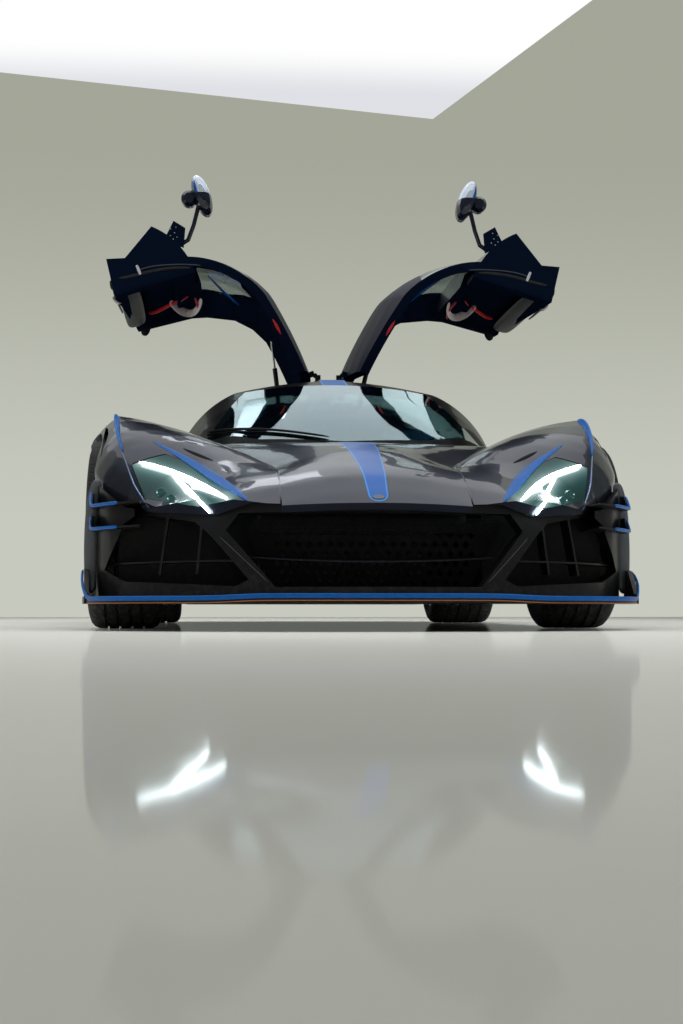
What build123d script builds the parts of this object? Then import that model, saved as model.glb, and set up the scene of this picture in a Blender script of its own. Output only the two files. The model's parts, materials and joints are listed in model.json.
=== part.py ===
"""Mid-engined hypercar with gull-wing doors, as an assembly of separate pieces.

Millimetres. X is across the car (car's left is +X), the nose points to -Y, +Z is up.
The origin is on the ground, on the centre plane, midway between splitter tip and wing tip.
The doors are drawn shut, in the same skin as the cabin, and then turned up on their hinges,
because the car rests with both doors open.
"""

from build123d import *
from math import acos, atan2, cos, degrees, radians, sin, sqrt
import os

os.makedirs("parts", exist_ok=True)

# ---- driving dimensions -------------------------------------------------------------
LENGTH = 4840
WHEELBASE = 2750
FRONT_AXLE_Y = -1340
REAR_AXLE_Y = FRONT_AXLE_Y + WHEELBASE
NOSE_Y = -LENGTH / 2
TAIL_Y = LENGTH / 2
GAP = 5                      # shut line between panels

# wheels: tyre radius, tyre width, rim radius, centre of the wheel from the centre plane
WHEEL_SIZES = {
    "front": dict(axle_y=FRONT_AXLE_Y, r=345, width=265, rim_r=254, x=825),
    "rear": dict(axle_y=REAR_AXLE_Y, r=362, width=330, rim_r=267, x=830),
}
KINGPIN_X = 785              # steering axis of a front upright
KINGPIN_R = 14
STUB_R = 30                  # stub axle that a wheel hub turns on
RUNNING_CLEARANCE = 0.06

# doors
DOOR_OPEN_DEG = 71
HINGE_X, HINGE_Z = 58, 1104
DOOR_INNER_X = 62
SPINE_HALF = 45
DOOR_FRONT_Y, DOOR_REAR_Y = -640, 425
DOOR_SKIN = 40
BONNET_SKIN = 22
GLASS = 6

# nose, in plan: an arc about a point on the centre plane
NOSE_ARC_R = 907
NOSE_ARC_Y = -1453
SPLITTER_Z = (88, 112)
FLOOR_Z = (100, 118)

TOW_EYE, TOW_EYE_R = (260, 582), 9    # x,z and radius of the socket in the tail panel

# ---- tables of sections -------------------------------------------------------------
# Front body, one half. Columns: station y, centre z, then x,z of the valley beside the
# bonnet, of the wing's crest, of the blade edge, of the flank's widest line and of the
# lower edge.
FRONT_SECTIONS = [
    (-2400, 372, 300, 330, 520, 315, 720, 300, 735, 295, 735, 285),
    (-2200, 500, 300, 460, 500, 425, 715, 345, 730, 335, 730, 318),
    (-2030, 560, 300, 525, 500, 492, 712, 396, 735, 378, 735, 352),
    (-1880, 607, 300, 545, 540, 565, 765, 505, 803, 445, 790, 385),
    (-1740, 637, 340, 580, 600, 645, 808, 608, 892, 510, 880, 392),
    (-1600, 664, 400, 612, 640, 698, 838, 694, 936, 570, 938, 378),
    (-1340, 692, 520, 680, 720, 757, 857, 783, 964, 656, 962, 330),
    (-1150, 702, 545, 694, 730, 757, 858, 779, 970, 690, 960, 240),
    (-1000, 708, 570, 705, 735, 745, 852, 756, 964, 670, 950, 205),
    (-650, 715, 640, 700, 745, 685, 815, 640, 850, 560, 832, 205),
]
# Cabin and engine cover skin, symmetric. Columns: station y, roof z, then x,z of the
# roof's shoulder, of the side glass and of the foot.
CABIN_SECTIONS = [
    (-1180, 690, 380, 680, 500, 664, 600, 600),
    (-950, 842, 380, 812, 530, 755, 635, 600),
    (-600, 1014, 412, 972, 582, 856, 672, 600),
    (-250, 1082, 435, 1035, 610, 906, 708, 600),
    (150, 1101, 445, 1052, 624, 926, 735, 600),
    (600, 1062, 425, 1008, 598, 888, 724, 600),
    (1100, 968, 360, 918, 530, 820, 650, 600),
    (1600, 888, 300, 848, 440, 770, 545, 600),
    (2150, 815, 240, 788, 350, 735, 430, 600),
]
# Lower door, one side. Columns: station y, then x,z of the inner top, of the shoulder's
# bulge, of the widest line, of the scoop's waist, of the outer bottom and of the inner
# bottom.
DOOR_SECTIONS = [
    (DOOR_FRONT_Y, 580, 725, 716, 692, 817, 613, 724, 467, 744, 392, 588, 376),
    (-250, 580, 722, 752, 698, 850, 604, 736, 474, 750, 402, 592, 398),
    (DOOR_REAR_Y, 580, 726, 786, 708, 900, 594, 756, 480, 762, 428, 600, 440),
]
# Inner face of the door's trim, in front view, from the sill up to the roof: x,z.
TRIM_LINE = [(600, 300), (612, 530), (590, 673), (563, 775), (508, 895), (440, 962), (345, 1012), (240, 1038), (40, 1042)]
# Rear quarter, one side. Columns: station y, then x,z of the valley, of the crest, of
# the shoulder, of the flank and of the lower edge.
REAR_SECTIONS = [
    (430, 600, 722, 764, 722, 868, 660, 908, 560, 885, 200),
    (900, 535, 785, 720, 818, 870, 780, 975, 600, 965, 200),
    (1410, 430, 800, 700, 858, 890, 826, 1000, 620, 995, 330),
    (1950, 370, 752, 660, 828, 880, 800, 988, 620, 975, 380),
    (2300, 340, 735, 640, 790, 850, 760, 930, 610, 915, 430),
]
# Engine cover's lower edge, in side view: y,z.
LID_EDGE = [(525, 800), (900, 814), (1410, 818), (1985, 766)]


# ---- helpers ------------------------------------------------------------------------
def face_at(y, *spans):
    """Closed face in the plane y, from spans of two points (line) or three (arc)."""
    edges = []
    for span in spans:
        points = [Vector(x, y, z) for x, z in span]
        make = Edge.make_line if len(points) == 2 else Edge.make_three_point_arc
        edges.append(make(*points))
    return Face(Wire(edges))


def smoothed(rows, parts=2):
    """A table's rows with stations added between them, on a cubic through its own."""
    out = []
    for i, (a, b) in enumerate(zip(rows, rows[1:])):
        before, after = rows[max(i - 1, 0)], rows[min(i + 2, len(rows) - 1)]
        step = b[0] - a[0]
        for t in (k / parts for k in range(parts)):
            out.append(
                tuple(
                    (2 * t**3 - 3 * t**2 + 1) * p
                    + (t**3 - 2 * t**2 + t) * step * (q - o) / (b[0] - before[0])
                    + (3 * t**2 - 2 * t**3) * q
                    + (t**3 - t**2) * step * (r - p) / (after[0] - a[0])
                    for o, p, q, r in zip(before, a, b, after)
                )
            )
    return out + [rows[-1]]


def crowned(x, z_centre, z_edge):
    """Half-way point of an arc that is level on the centre plane and ends at x, z_edge."""
    drop = z_centre - z_edge
    radius = (x * x + drop * drop) / (2 * drop)
    return (x / 2, z_centre - radius + sqrt(radius * radius - x * x / 4))


def plan_prism(points, z_low, z_high):
    """Prism on a polygon of x,y points."""
    face = make_face(Polyline([(x, y, z_low) for x, y in points], close=True))
    return extrude(face, z_high - z_low, dir=(0, 0, 1))


def front_prism(points, y_front, y_rear):
    """Prism on a polygon of x,z points, running in y."""
    face = make_face(Polyline([(x, y_front, z) for x, z in points], close=True))
    return extrude(face, y_rear - y_front, dir=(0, 1, 0))


def side_prism(points, x_low, x_high):
    """Prism on a polygon of y,z points, running in x."""
    face = make_face(Polyline([(x_low, y, z) for y, z in points], close=True))
    return extrude(face, x_high - x_low, dir=(1, 0, 0))


def block(x0, x1, y0, y1, z0, z1):
    """Box between two corners."""
    centre = ((x0 + x1) / 2, (y0 + y1) / 2, (z0 + z1) / 2)
    return Pos(*centre) * Box(abs(x1 - x0), abs(y1 - y0), abs(z1 - z0))


def rod(start, end, radius):
    """Round bar between two points."""
    start, end = Vector(*start), Vector(*end)
    plane = Plane(origin=start, z_dir=end - start)
    return extrude(plane * Circle(radius), (end - start).length)


def axle_cylinder(x0, x1, y, z, radius):
    """Cylinder along X."""
    return rod((x0, y, z), (x1, y, z), radius)


def mirrored(shape):
    """The same piece on the other side of the centre plane."""
    return mirror(shape, Plane.YZ)


def nose_disc(radius, z_low, z_high):
    """Upright cylinder whose front is the nose's curve in plan."""
    return Pos(0, NOSE_ARC_Y, z_low) * Cylinder(
        radius, z_high - z_low, align=(Align.CENTER, Align.CENTER, Align.MIN)
    )


def one(shape):
    """Largest solid of a shape."""
    return max(shape.solids(), key=lambda solid: solid.volume)


def write(name, shape):
    """Writes one node."""
    export_step(shape, f"parts/{name}.step")


# ---- body skins ---------------------------------------------------------------------
def front_body():
    """Nose and both front wings as one volume."""
    faces = []
    for y, zc, xv, zv, xc, zcr, xb, zb, xf, zf, xs, zs in smoothed(FRONT_SECTIONS):
        valley, crest, blade, flank, foot = (xv, zv), (xc, zcr), (xb, zb), (xf, zf), (xs, zs)
        swell = ((xb + xf) / 2 + 0.05 * (xf - xb), (zb + zf) / 2 + 0.12 * (xf - xb))
        tuck = ((xf + xs) / 2 + 2, (zf + zs) / 2)
        left = [(valley, crest, blade), (blade, swell, flank), (flank, tuck, foot)]
        right = [tuple((-x, z) for x, z in reversed(span)) for span in reversed(left)]
        bottom = [(foot, (-xs, zs))]
        top = [((-xv, zv), (0, zc), valley)]
        faces.append(face_at(y, *left, *bottom, *right, *top))
    return loft(faces, ruled=True)


def under_bonnet():
    """Volume below the bonnet sheet, its crown carried on past the valleys."""
    faces = []
    for y, zc, xv, zv, *_ in smoothed(FRONT_SECTIONS):
        radius = (xv * xv + (zc - zv) ** 2) / (2 * (zc - zv))
        wide = 1.12 * xv
        edge = (wide, zc - BONNET_SKIN - radius + sqrt(radius * radius - wide * wide))
        faces.append(
            face_at(
                y,
                ((-edge[0], edge[1]), (0, zc - BONNET_SKIN), edge),
                (edge, (edge[0], 100)),
                ((edge[0], 100), (-edge[0], 100)),
                ((-edge[0], 100), (-edge[0], edge[1])),
            )
        )
    return loft(faces, ruled=True)


def cabin_skin(inset=0.0, stations=CABIN_SECTIONS):
    """Cabin and engine cover volume, drawn in by inset."""
    faces = []
    for y, zt, xs, zs, xm, zm, xb, zb in smoothed(stations):
        t = inset
        top = (0, zt - t)
        shoulder = (xs - 0.3 * t, zs - 0.95 * t)
        side = (xm - 0.8 * t, zm - 0.6 * t)
        foot = (xb - t, zb)
        faces.append(
            face_at(
                y,
                ((-shoulder[0], shoulder[1]), top, shoulder),
                (shoulder, side, foot),
                (foot, (-foot[0], foot[1])),
                ((-foot[0], foot[1]), (-side[0], side[1]), (-shoulder[0], shoulder[1])),
            )
        )
    return loft(faces, ruled=True)


def quarter_half():
    """Left rear quarter, solid."""
    faces = []
    for y, xv, zv, xc, zcr, xb, zb, xf, zf, xs, zs in smoothed(REAR_SECTIONS):
        faces.append(
            face_at(
                y,
                ((xv, zv), (xc, zcr), (xb, zb)),
                ((xb, zb), (xf, zf), (xs, zs)),
                ((xs, zs), (xv, zs)),
                ((xv, zs), (xv, zv)),
            )
        )
    return loft(faces, ruled=True)


def lower_door_half():
    """Left lower door, solid, shut."""
    faces = []
    for y, xa, za, xm, zm, xc, zc, xw, zw, xd, zd, xe, ze in smoothed(DOOR_SECTIONS):
        faces.append(
            face_at(
                y,
                ((xa, za), (xm, zm), (xc, zc)),
                ((xc, zc), (xw, zw)),
                ((xw, zw), (xd, zd)),
                ((xd, zd), (xe, ze)),
                ((xe, ze), (xa, za)),
            )
        )
    return loft(faces, ruled=True)


CABIN_FRONT = [row for row in CABIN_SECTIONS if row[0] <= 600]
CABIN_OUTER = cabin_skin(0, CABIN_FRONT)
CABIN_GLASS = cabin_skin(GLASS, CABIN_FRONT)
CABIN_INNER = cabin_skin(DOOR_SKIN, CABIN_FRONT)
CABIN_CLEAR = cabin_skin(-GAP, CABIN_FRONT)

# windscreen outline in plan, from the left header corner round the base
SCREEN_CORNERS = [(378, -612), (548, -1020), (330, -1110), (0, -1140)]
# door's front edge in plan, from the spine out along the windscreen pillar
DOOR_FRONT_EDGE = [(DOOR_INNER_X, -480), (374, -575), (600, DOOR_FRONT_Y)]
SIDE_WINDOW = [(-520, 745), (-440, 900), (-180, 985), (180, 990), (330, 900), (350, 760)]


def symmetric(points):
    """A left-hand outline that starts off the centre plane and ends on it, closed."""
    return points + [(-x, y) for x, y in reversed(points) if x]


def screen_region(grow):
    """Plan prism of the windscreen, grown by a rim."""
    header = [(points[0] + grow, points[1] + grow) for points in SCREEN_CORNERS[:1]]
    side = [(SCREEN_CORNERS[1][0] + grow, SCREEN_CORNERS[1][1] - grow * 0.4)]
    base = [(x, y - grow) for x, y in SCREEN_CORNERS[2:]]
    return plan_prism(symmetric(header + side + base), 560, 1150)


def door_region(grow):
    """Plan prism of the left door above its sill, grown by a gap."""
    edge = [(x - grow, y - grow) for x, y in DOOR_FRONT_EDGE]
    rear = [(1000, DOOR_FRONT_Y - grow), (1000, DOOR_REAR_Y + grow)]
    inner = [(DOOR_INNER_X - grow, DOOR_REAR_Y + grow)]
    return plan_prism(edge + rear + inner, 340, 1160)


# ---- cabin --------------------------------------------------------------------------
def make_windscreen():
    """Curved windscreen."""
    return (CABIN_OUTER - CABIN_GLASS) & screen_region(0)


def hinge_knuckles(y_from, y_to, x_foot, skin_z):
    """Hinge barrel on the door's axis with its foot on the roof skin."""
    barrel = rod((HINGE_X, y_from, HINGE_Z), (HINGE_X, y_to, HINGE_Z), 8)
    foot = block(min(HINGE_X, x_foot), max(HINGE_X, x_foot), y_from, y_to, skin_z, HINGE_Z)
    return barrel + foot


STRUT_FOOT = Vector(170, 455, 930)            # pivot on the rear bulkhead
STRUT_PIN_SHUT = Vector(329, 100, 1004)       # ball stud under the door's roof, door shut
HINGES = [(-250, 1050), (300, 1066)]     # station y and skin z at each hinge
KNUCKLE = 22                             # length of one hinge knuckle


def make_cabin_frame():
    """Windscreen surround, pillars, roof spine and rear hoop, in one piece."""
    frame = CABIN_OUTER - CABIN_INNER
    frame &= block(-900, 900, -1176, 490, 640, 1200)
    frame -= screen_region(0)
    for side in (door_region(GAP + 1), mirrored(door_region(GAP + 1))):
        frame -= side
    frame += (CABIN_OUTER - CABIN_INNER) & block(
        -SPINE_HALF, SPINE_HALF, -600, 480, 640, 1200
    )
    for y, skin_z in HINGES:
        notch = block(HINGE_X - 12, 90, y + KNUCKLE, y + 2 * KNUCKLE + 3, 1000, 1140)
        frame = frame - notch - mirrored(notch)
        knuckle = hinge_knuckles(y, y + KNUCKLE, SPINE_HALF - 10, skin_z)
        frame += knuckle + mirrored(knuckle)
    return one(frame)


def make_door():
    """Left door shell, shut: roof panel, window frame and thick lower body."""
    upper = (CABIN_OUTER - CABIN_INNER) & door_region(0)
    upper &= block(0, 1000, -1000, 1000, 690, 1200)
    lower = lower_door_half()
    lower &= door_region(0)
    # trim: thick behind the window's front corner, thin over the head
    trim = CABIN_OUTER & door_region(0) & block(0, 1000, -420, DOOR_REAR_Y, 600, 1200)
    trim -= front_prism(TRIM_LINE + [(40, 300)], -700, 600)
    door = upper + lower + trim
    door -= side_prism(SIDE_WINDOW, 390, 720)
    # pocket in the card, and the plate beside the mirror's foot
    door -= front_prism([(560, 430), (625, 430), (625, 640), (560, 640)], -560, 340)
    door += front_prism([(752, 650), (811, 708), (767, 745), (690, 712)], DOOR_FRONT_Y, DOOR_FRONT_Y + 8)
    for y, skin_z in HINGES:
        door -= block(40, HINGE_X + 12, y - 3, y + KNUCKLE + 1, 1000, 1140)
        door += hinge_knuckles(y + KNUCKLE + 2, y + 2 * KNUCKLE, HINGE_X + 24, skin_z)
    pin = STRUT_PIN_SHUT
    door += rod((pin.X, pin.Y, pin.Z - 4), (pin.X, pin.Y, pin.Z + 40), 7)
    return one(door)


def make_door_glass():
    """Left side window, shut, set in its frame."""
    pane = cabin_skin(8, CABIN_FRONT) - cabin_skin(8 + GLASS, CABIN_FRONT)
    return one(pane & side_prism(SIDE_WINDOW, 450, 720))


# mirror, left, shut: foot on the door's front corner, stalk, then the head
MIRROR_STALK = [(712, -606, 700), (722, -612, 742), (770, -622, 782), (838, -628, 826)]
MIRROR_HEAD = (880, -628, 856)


def make_mirror():
    """Left door mirror: bent stalk, shell and the smaller lobe below its glass."""
    hx, hy, hz = MIRROR_HEAD
    points = [Vector(*point) for point in MIRROR_STALK]
    head = None
    # offset in x and z, then y, half-width and half-height of each lobe's ovals
    for dx, dz, ovals in (
        (0, 0, [(34, 90, 37), (0, 88, 36), (-34, 70, 28), (-50, 36, 13)]),
        (6, -54, [(40, 36, 34), (12, 35, 33), (-6, 22, 20)]),
    ):
        faces = [
            (Plane(origin=(hx + dx, hy + y, hz + dz), x_dir=(1, 0, 0), z_dir=(0, 1, 0)) * Ellipse(w, h)).face()
            for y, w, h in ovals
        ]
        lobe = loft(faces, ruled=True)
        head = lobe if head is None else head + lobe
    for start, end in zip(points, points[1:]):
        head += rod(start, end, 9) + Pos(*end) * Sphere(9)
    return one(head)


def opened(shape, side=1):
    """A shut left door piece, turned up on its hinge; side -1 gives the right one."""
    axis = Axis((HINGE_X, 0, HINGE_Z), (0, -1, 0))
    up = shape.rotate(axis, DOOR_OPEN_DEG)
    return up if side > 0 else mirrored(up)


# ---- door struts --------------------------------------------------------------------
BARREL_LENGTH, ROD_LENGTH = 362, 250


def turned(point, degrees_up):
    """Point of the left door when the door is up by an angle."""
    dx, dz, a = point.X - HINGE_X, point.Z - HINGE_Z, radians(degrees_up)
    return Vector(
        HINGE_X + dx * cos(a) - dz * sin(a), point.Y, HINGE_Z + dx * sin(a) + dz * cos(a)
    )


STRUT_PIN_OPEN = turned(STRUT_PIN_SHUT, DOOR_OPEN_DEG)


def make_strut():
    """Left gas strut at its open length: barrel with its eye, and rod."""
    reach = STRUT_PIN_OPEN - STRUT_FOOT
    way, length = reach.normalized(), reach.length
    mouth = STRUT_FOOT + way * BARREL_LENGTH
    barrel = rod(STRUT_FOOT + way * 14, mouth, 11)
    barrel -= rod(STRUT_FOOT + way * 60, mouth + way, 5.3)
    tip = STRUT_FOOT + way * (length - 20)
    piston_rod = rod(tip - way * ROD_LENGTH, tip, 4.9)
    return one(barrel), one(piston_rod)


# ---- front body ---------------------------------------------------------------------
def wheel_housing(clear_r, size, x_in, x_cone, cone_r, lip_x, lip_r):
    """Space round a left wheel: a cone inboard for its arms, a smaller lip outboard."""
    y, z = size["axle_y"], size["r"]
    space = axle_cylinder(x_in, lip_x, y, z, clear_r) + axle_cylinder(lip_x - 1, 1100, y, z, lip_r)
    inner = Plane(origin=(x_cone, y, z), z_dir=(1, 0, 0)) * Circle(cone_r)
    outer = Plane(origin=(x_in + 1, y, z), z_dir=(1, 0, 0)) * Circle(clear_r - 8)
    return space + loft([inner.face(), outer.face()])


FRONT_HOUSING = wheel_housing(390, WHEEL_SIZES["front"], 682, 540, 290, 905, 368)
REAR_HOUSING = wheel_housing(390, WHEEL_SIZES["rear"], 640, 545, 280, 930, 380)

VALLEY_LINE = [(300, -2440), (300, -1880), (400, -1600), (520, -1340), (575, -1000), (640, -600)]
LAMP_OUTLINE = [(425, 420), (585, 562), (745, 628), (790, 560), (742, 436), (560, 395)]
FRONT_BAY = [(-2170, 100), (-2170, 378), (-1900, 430), (-1600, 520), (-1340, 600), (-1000, 640), (-600, 640), (-600, 100)]
# lower edge of the wing ahead of its arch, in front view: x,z
HEM = [(0, 100), (0, 398), (300, 398), (395, 402), (507, 366), (700, 384), (805, 408), (935, 518), (1100, 620), (1100, 100)]


def make_front_skin():
    """Nose and wings, trimmed to the nose's curve in plan."""
    corners = block(-1100, 1100, -2500, -1880, 100, 900) - nose_disc(NOSE_ARC_R, 90, 910)
    return front_body() - corners


def make_bonnet(skin):
    """Bonnet between the valleys, a sheet 22 mm thick."""
    region = plan_prism(VALLEY_LINE + [(-x, y) for x, y in reversed(VALLEY_LINE)], 100, 900)
    sheet = (skin & region) - under_bonnet()
    sheet -= CABIN_CLEAR
    return one(sheet & block(-900, 900, -2440, -1040, 300, 900))


def make_fender(skin):
    """Left front wing with its wheel arch, and the headlamp let into it."""
    line = [(x + GAP, y) for x, y in VALLEY_LINE]
    region = plan_prism(line + [(1100, -600), (1100, -2440)], 100, 900)
    wing = skin & region
    wing -= CABIN_CLEAR
    wing -= FRONT_HOUSING
    wing -= front_prism(HEM, -2500, -1560)
    wing -= side_prism(FRONT_BAY, 0, 545)
    wing -= block(500, 720, -1100, -600, 100, 640)
    pocket = front_prism(LAMP_OUTLINE, -2440, -1800)
    rim = [(x * 0.985 + 9, z * 0.98 + 10) for x, z in LAMP_OUTLINE]
    lamp = one(wing & front_prism(rim, -2440, -1806))
    return one(wing - pocket), lamp


CENTRE_MOUTH = [(-322, 138), (322, 138), (474, 318), (432, 372), (-432, 372), (-474, 318)]
SIDE_DUCT = [(403, 162), (444, 141), (800, 160), (876, 200), (806, 352), (758, 384), (570, 348), (520, 300)]
CORNER_POST = [(770, -1978), (850, -1895), (894, -1810), (908, -1735), (862, -1735), (770, -1900)]


def make_bumper(bodywork):
    """Nose frame below the bonnet lip, with its centre mouth and side ducts."""
    outer = Pos(0, NOSE_ARC_Y, 112) * Cone(956, 893, 290, align=(Align.CENTER, Align.CENTER, Align.MIN))
    inner = Pos(0, NOSE_ARC_Y, 100) * Cone(858, 790, 310, align=(Align.CENTER, Align.CENTER, Align.MIN))
    frame = (outer - inner) & block(-1000, 1000, -2500, -1735, 112, 402)
    post = plan_prism(CORNER_POST, 112, 520) & front_prism(HEM, -2500, -1600)
    frame += post + mirrored(post)
    frame -= front_prism(CENTRE_MOUTH, -2500, -1600)
    duct = front_prism(SIDE_DUCT, -2500, -1600)
    frame -= duct + mirrored(duct)
    # shelf and two upright vanes in each duct, blade across the centre mouth
    ring = outer - (Pos(0, NOSE_ARC_Y, 100) * Cone(880, 815, 310, align=(Align.CENTER, Align.CENTER, Align.MIN)))
    shelf = ring & block(380, 870, -2500, -1740, 218, 224)
    vanes = ring & (front_prism([(560, 180), (568, 180), (552, 360), (544, 360)], -2500, -1700))
    vanes += ring & (front_prism([(680, 180), (688, 180), (662, 372), (654, 372)], -2500, -1700))
    blade = ring & block(-400, 400, -2500, -2000, 232, 244)
    fins = (shelf + vanes) & duct
    frame = frame + fins + mirrored(fins) + (blade & front_prism(CENTRE_MOUTH, -2500, -1600))
    # liner that closes the ducts ahead of the wheels
    liner = block(360, 850, -1800, -1792, 118, 398) + block(360, 368, -2116, -1796, 118, 398)
    liner &= nose_disc(900, 100, 410)
    frame += liner + mirrored(liner)
    for panel in bodywork:
        frame -= panel
    return one(frame)


def make_grille():
    """Mesh panel behind the centre mouth, a plate with rows of diamond holes."""
    plate = front_prism([(-310, 125), (310, 125), (428, 350), (-428, 350)], -2134, -2126)
    holes = []
    for row in range(6):
        for column in range(-9, 10):
            x, z = 34 * column + 17 * (row % 2), 155 + 31 * row
            if abs(x) < 268 + 0.6 * (z - 140):
                diamond = [(x - 13, z), (x, z - 12), (x + 13, z), (x, z + 12)]
                holes.append(front_prism(diamond, -2140, -2120))
    return plate, holes


SPLITTER_HALF, SPLITTER_REACH, SPLITTER_BACK_Y = 956, 720, -1700


def splitter_edge(steps=20, inset=0):
    """Half of the splitter's plan outline, from the tip to the side."""
    points = []
    for k in range(steps + 1):
        a = radians(90 * k / steps)
        x = (SPLITTER_HALF - inset) * sin(a) ** 0.87
        y = SPLITTER_BACK_Y - (SPLITTER_REACH - inset) * cos(a) ** 0.87
        points.append((x, y))
    return points


def make_splitter(bumper):
    """Front splitter: slab with a raised middle and an upturned fence at each end."""
    low, high = SPLITTER_Z
    half = splitter_edge()
    slab = plan_prism([(-x, y) for x, y in reversed(half[1:])] + half, low, high)
    middle = [(x, y) for x, y in half if x < 450]
    middle = [(-x, y) for x, y in reversed(middle[1:])] + middle
    slab += plan_prism(middle + [(middle[-1][0], -2300), (-middle[-1][0], -2300)], high - 8, high + 7)
    fence = plan_prism([(922, -1905), (938, -1905), (954, -1705), (938, -1705)], low, 220)
    fence &= side_prism([(-1905, low), (-1905, 122), (-1800, 196), (-1705, 212), (-1705, low)], 900, 1000)
    return one(slab + fence + mirrored(fence) - bumper)


def make_dive_planes(neighbours):
    """Two curved blades with upturned ends at each corner of the nose."""
    planes = None
    for z in (334, 412):
        band = nose_disc(1010, z, z + 6) - nose_disc(850, z - 1, z + 7)
        band &= block(748, 925, -2400, -1742, z - 1, z + 7)
        end = side_prism([(-1846, z), (-1742, z), (-1742, z + 54), (-1800, z + 48)], 918, 925)
        blade = band + end
        for panel in neighbours:
            blade -= panel
        planes = one(blade) if planes is None else planes + one(blade)
    return planes + mirrored(planes)


# ---- wheels -------------------------------------------------------------------------
def make_tyre(size):
    """Tyre, with flat tread and rounded shoulders, on the left side of the car."""
    r, half, rim_r, x, y = size["r"], size["width"] / 2, size["rim_r"], size["x"], size["axle_y"]
    z = r
    outline = [
        Edge.make_line(Vector(-half + 18, rim_r + 0.3), Vector(half - 18, rim_r + 0.3)),
        Edge.make_three_point_arc(
            Vector(half - 18, rim_r + 0.3), Vector(half, (rim_r + r) / 2 - 6), Vector(half - 14, r - 16)
        ),
        Edge.make_three_point_arc(
            Vector(half - 14, r - 16), Vector(half - 20, r - 6), Vector(half - 34, r)
        ),
        Edge.make_line(Vector(half - 34, r), Vector(-half + 34, r)),
        Edge.make_three_point_arc(
            Vector(-half + 34, r), Vector(-half + 20, r - 6), Vector(-half + 14, r - 16)
        ),
        Edge.make_three_point_arc(
            Vector(-half + 14, r - 16), Vector(-half, (rim_r + r) / 2 - 6), Vector(-half + 18, rim_r + 0.3)
        ),
    ]
    ring = revolve(Face(Wire(outline)), Axis.X, 360)
    return Pos(x, y, z) * ring


def make_rim(size):
    """Left rim: barrel, ten spokes, hub with its bore, and the brake disc behind."""
    rim_r, half, x, y, z = size["rim_r"], size["width"] / 2, size["x"], size["axle_y"], size["r"]
    barrel_profile = Polyline(
        (-half + 14, rim_r),
        (half - 14, rim_r),
        (half - 14, rim_r - 14),
        (half - 40, rim_r - 16),
        (-half + 30, rim_r - 12),
        (-half + 14, rim_r - 14),
        close=True,
    )
    wheel = revolve(make_face(barrel_profile), Axis.X, 360)
    face_x = half - 52
    hub = axle_cylinder(20, face_x + 22, 0, 0, 62)
    spokes = []
    for index in range(10):
        root = Plane(origin=(face_x, 0, 50), z_dir=(0, 0, 1)) * Rectangle(34, 40)
        mid = Plane(origin=(face_x + 6, 0, 150), z_dir=(0, 0, 1)) * Rectangle(22, 22)
        tip = Plane(origin=(face_x + 18, 0, rim_r - 12), z_dir=(0, 0, 1)) * Rectangle(24, 38)
        spoke = loft([root.face(), mid.face(), tip.face()])
        spokes.append(spoke.rotate(Axis.X, 36 * index))
    disc = axle_cylinder(24, 58, 0, 0, 196) - axle_cylinder(20, 60, 0, 0, 118)
    bell = axle_cylinder(40, face_x, 0, 0, 120) - axle_cylinder(30, face_x - 8, 0, 0, 112)
    wheel = wheel + hub + bell + disc
    for spoke in spokes:
        wheel += spoke
    wheel -= axle_cylinder(-50, face_x + 2, 0, 0, STUB_R + RUNNING_CLEARANCE)
    return Pos(x, y, z) * one(wheel)


def make_upright(size, steered):
    """Left upright with stub axle and brake caliper; a steered one has its kingpin."""
    x, y, z, half = size["x"], size["axle_y"], size["r"], size["width"] / 2
    inner = KINGPIN_X - x if steered else -40
    post = block(inner - 22, inner + 22, -45, 45, -84, 84)
    stub = axle_cylinder(inner, half - 52, 0, 0, STUB_R)
    carrier = block(inner + 10, 18, -60, 60, -60, 60)
    carrier -= axle_cylinder(16, 80, 0, 0, 70)
    caliper = block(10, 68, -235, -150, -90, 90) & axle_cylinder(0, 90, 0, 0, 222)
    caliper -= axle_cylinder(20, 62, 0, 0, 200)
    arm = block(inner - 10, 16, -226, -40, -40, 40) & axle_cylinder(-90, 90, 0, 0, 222)
    body = post + stub + carrier + caliper + arm
    if steered:
        pin = rod((inner, 0, -136), (inner, 0, 136), KINGPIN_R)
        body += pin
    return Pos(x, y, z) * one(body)


def make_wishbones(size, steered):
    """Upper and lower wishbones of one left wheel, eyes on the kingpin."""
    y, z = size["axle_y"], size["r"]
    outer_x = KINGPIN_X if steered else size["x"] - 40
    arms = None
    for dz in (-112, 112):
        eye = rod((outer_x, y, z + dz - 10), (outer_x, y, z + dz + 10), 26)
        legs = eye
        for dy in (-138, 138):
            foot = (467, y + dy, z + dz * 0.75)
            legs += rod(foot, (outer_x - 20, y + dy * 0.08, z + dz), 11)
            legs += rod((foot[0] - 12, foot[1], foot[2]), (foot[0] + 12, foot[1], foot[2]), 20)
        if steered:
            legs -= rod(
                (outer_x, y, z + dz - 40), (outer_x, y, z + dz + 40), KINGPIN_R + RUNNING_CLEARANCE
            )
        arms = legs if arms is None else arms + legs
    return arms


# ---- tub and cabin ------------------------------------------------------------------
def make_tub():
    """Carbon tub: floor, sills, front box, bulkheads."""
    tub = block(-620, 620, -1180, 520, 120, 150)
    tub += block(560, 640, -900, 520, 150, 350) + block(-640, -560, -900, 520, 150, 350)
    box = block(-455, 455, -1560, -1150, 120, 500) - block(-420, 420, -1525, -1185, 160, 600)
    tub += box
    tub += block(-530, 530, -1180, -1150, 120, 620)
    tub += block(-640, 640, 490, 520, 120, 640)
    tub += CABIN_OUTER & block(-900, 900, 490, 520, 600, 1200)
    foot = STRUT_FOOT
    lug = rod((foot.X, foot.Y, foot.Z), (foot.X, 495, foot.Z), 9)
    return one(tub + lug + mirrored(lug) - FRONT_HOUSING - mirrored(FRONT_HOUSING))


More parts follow.
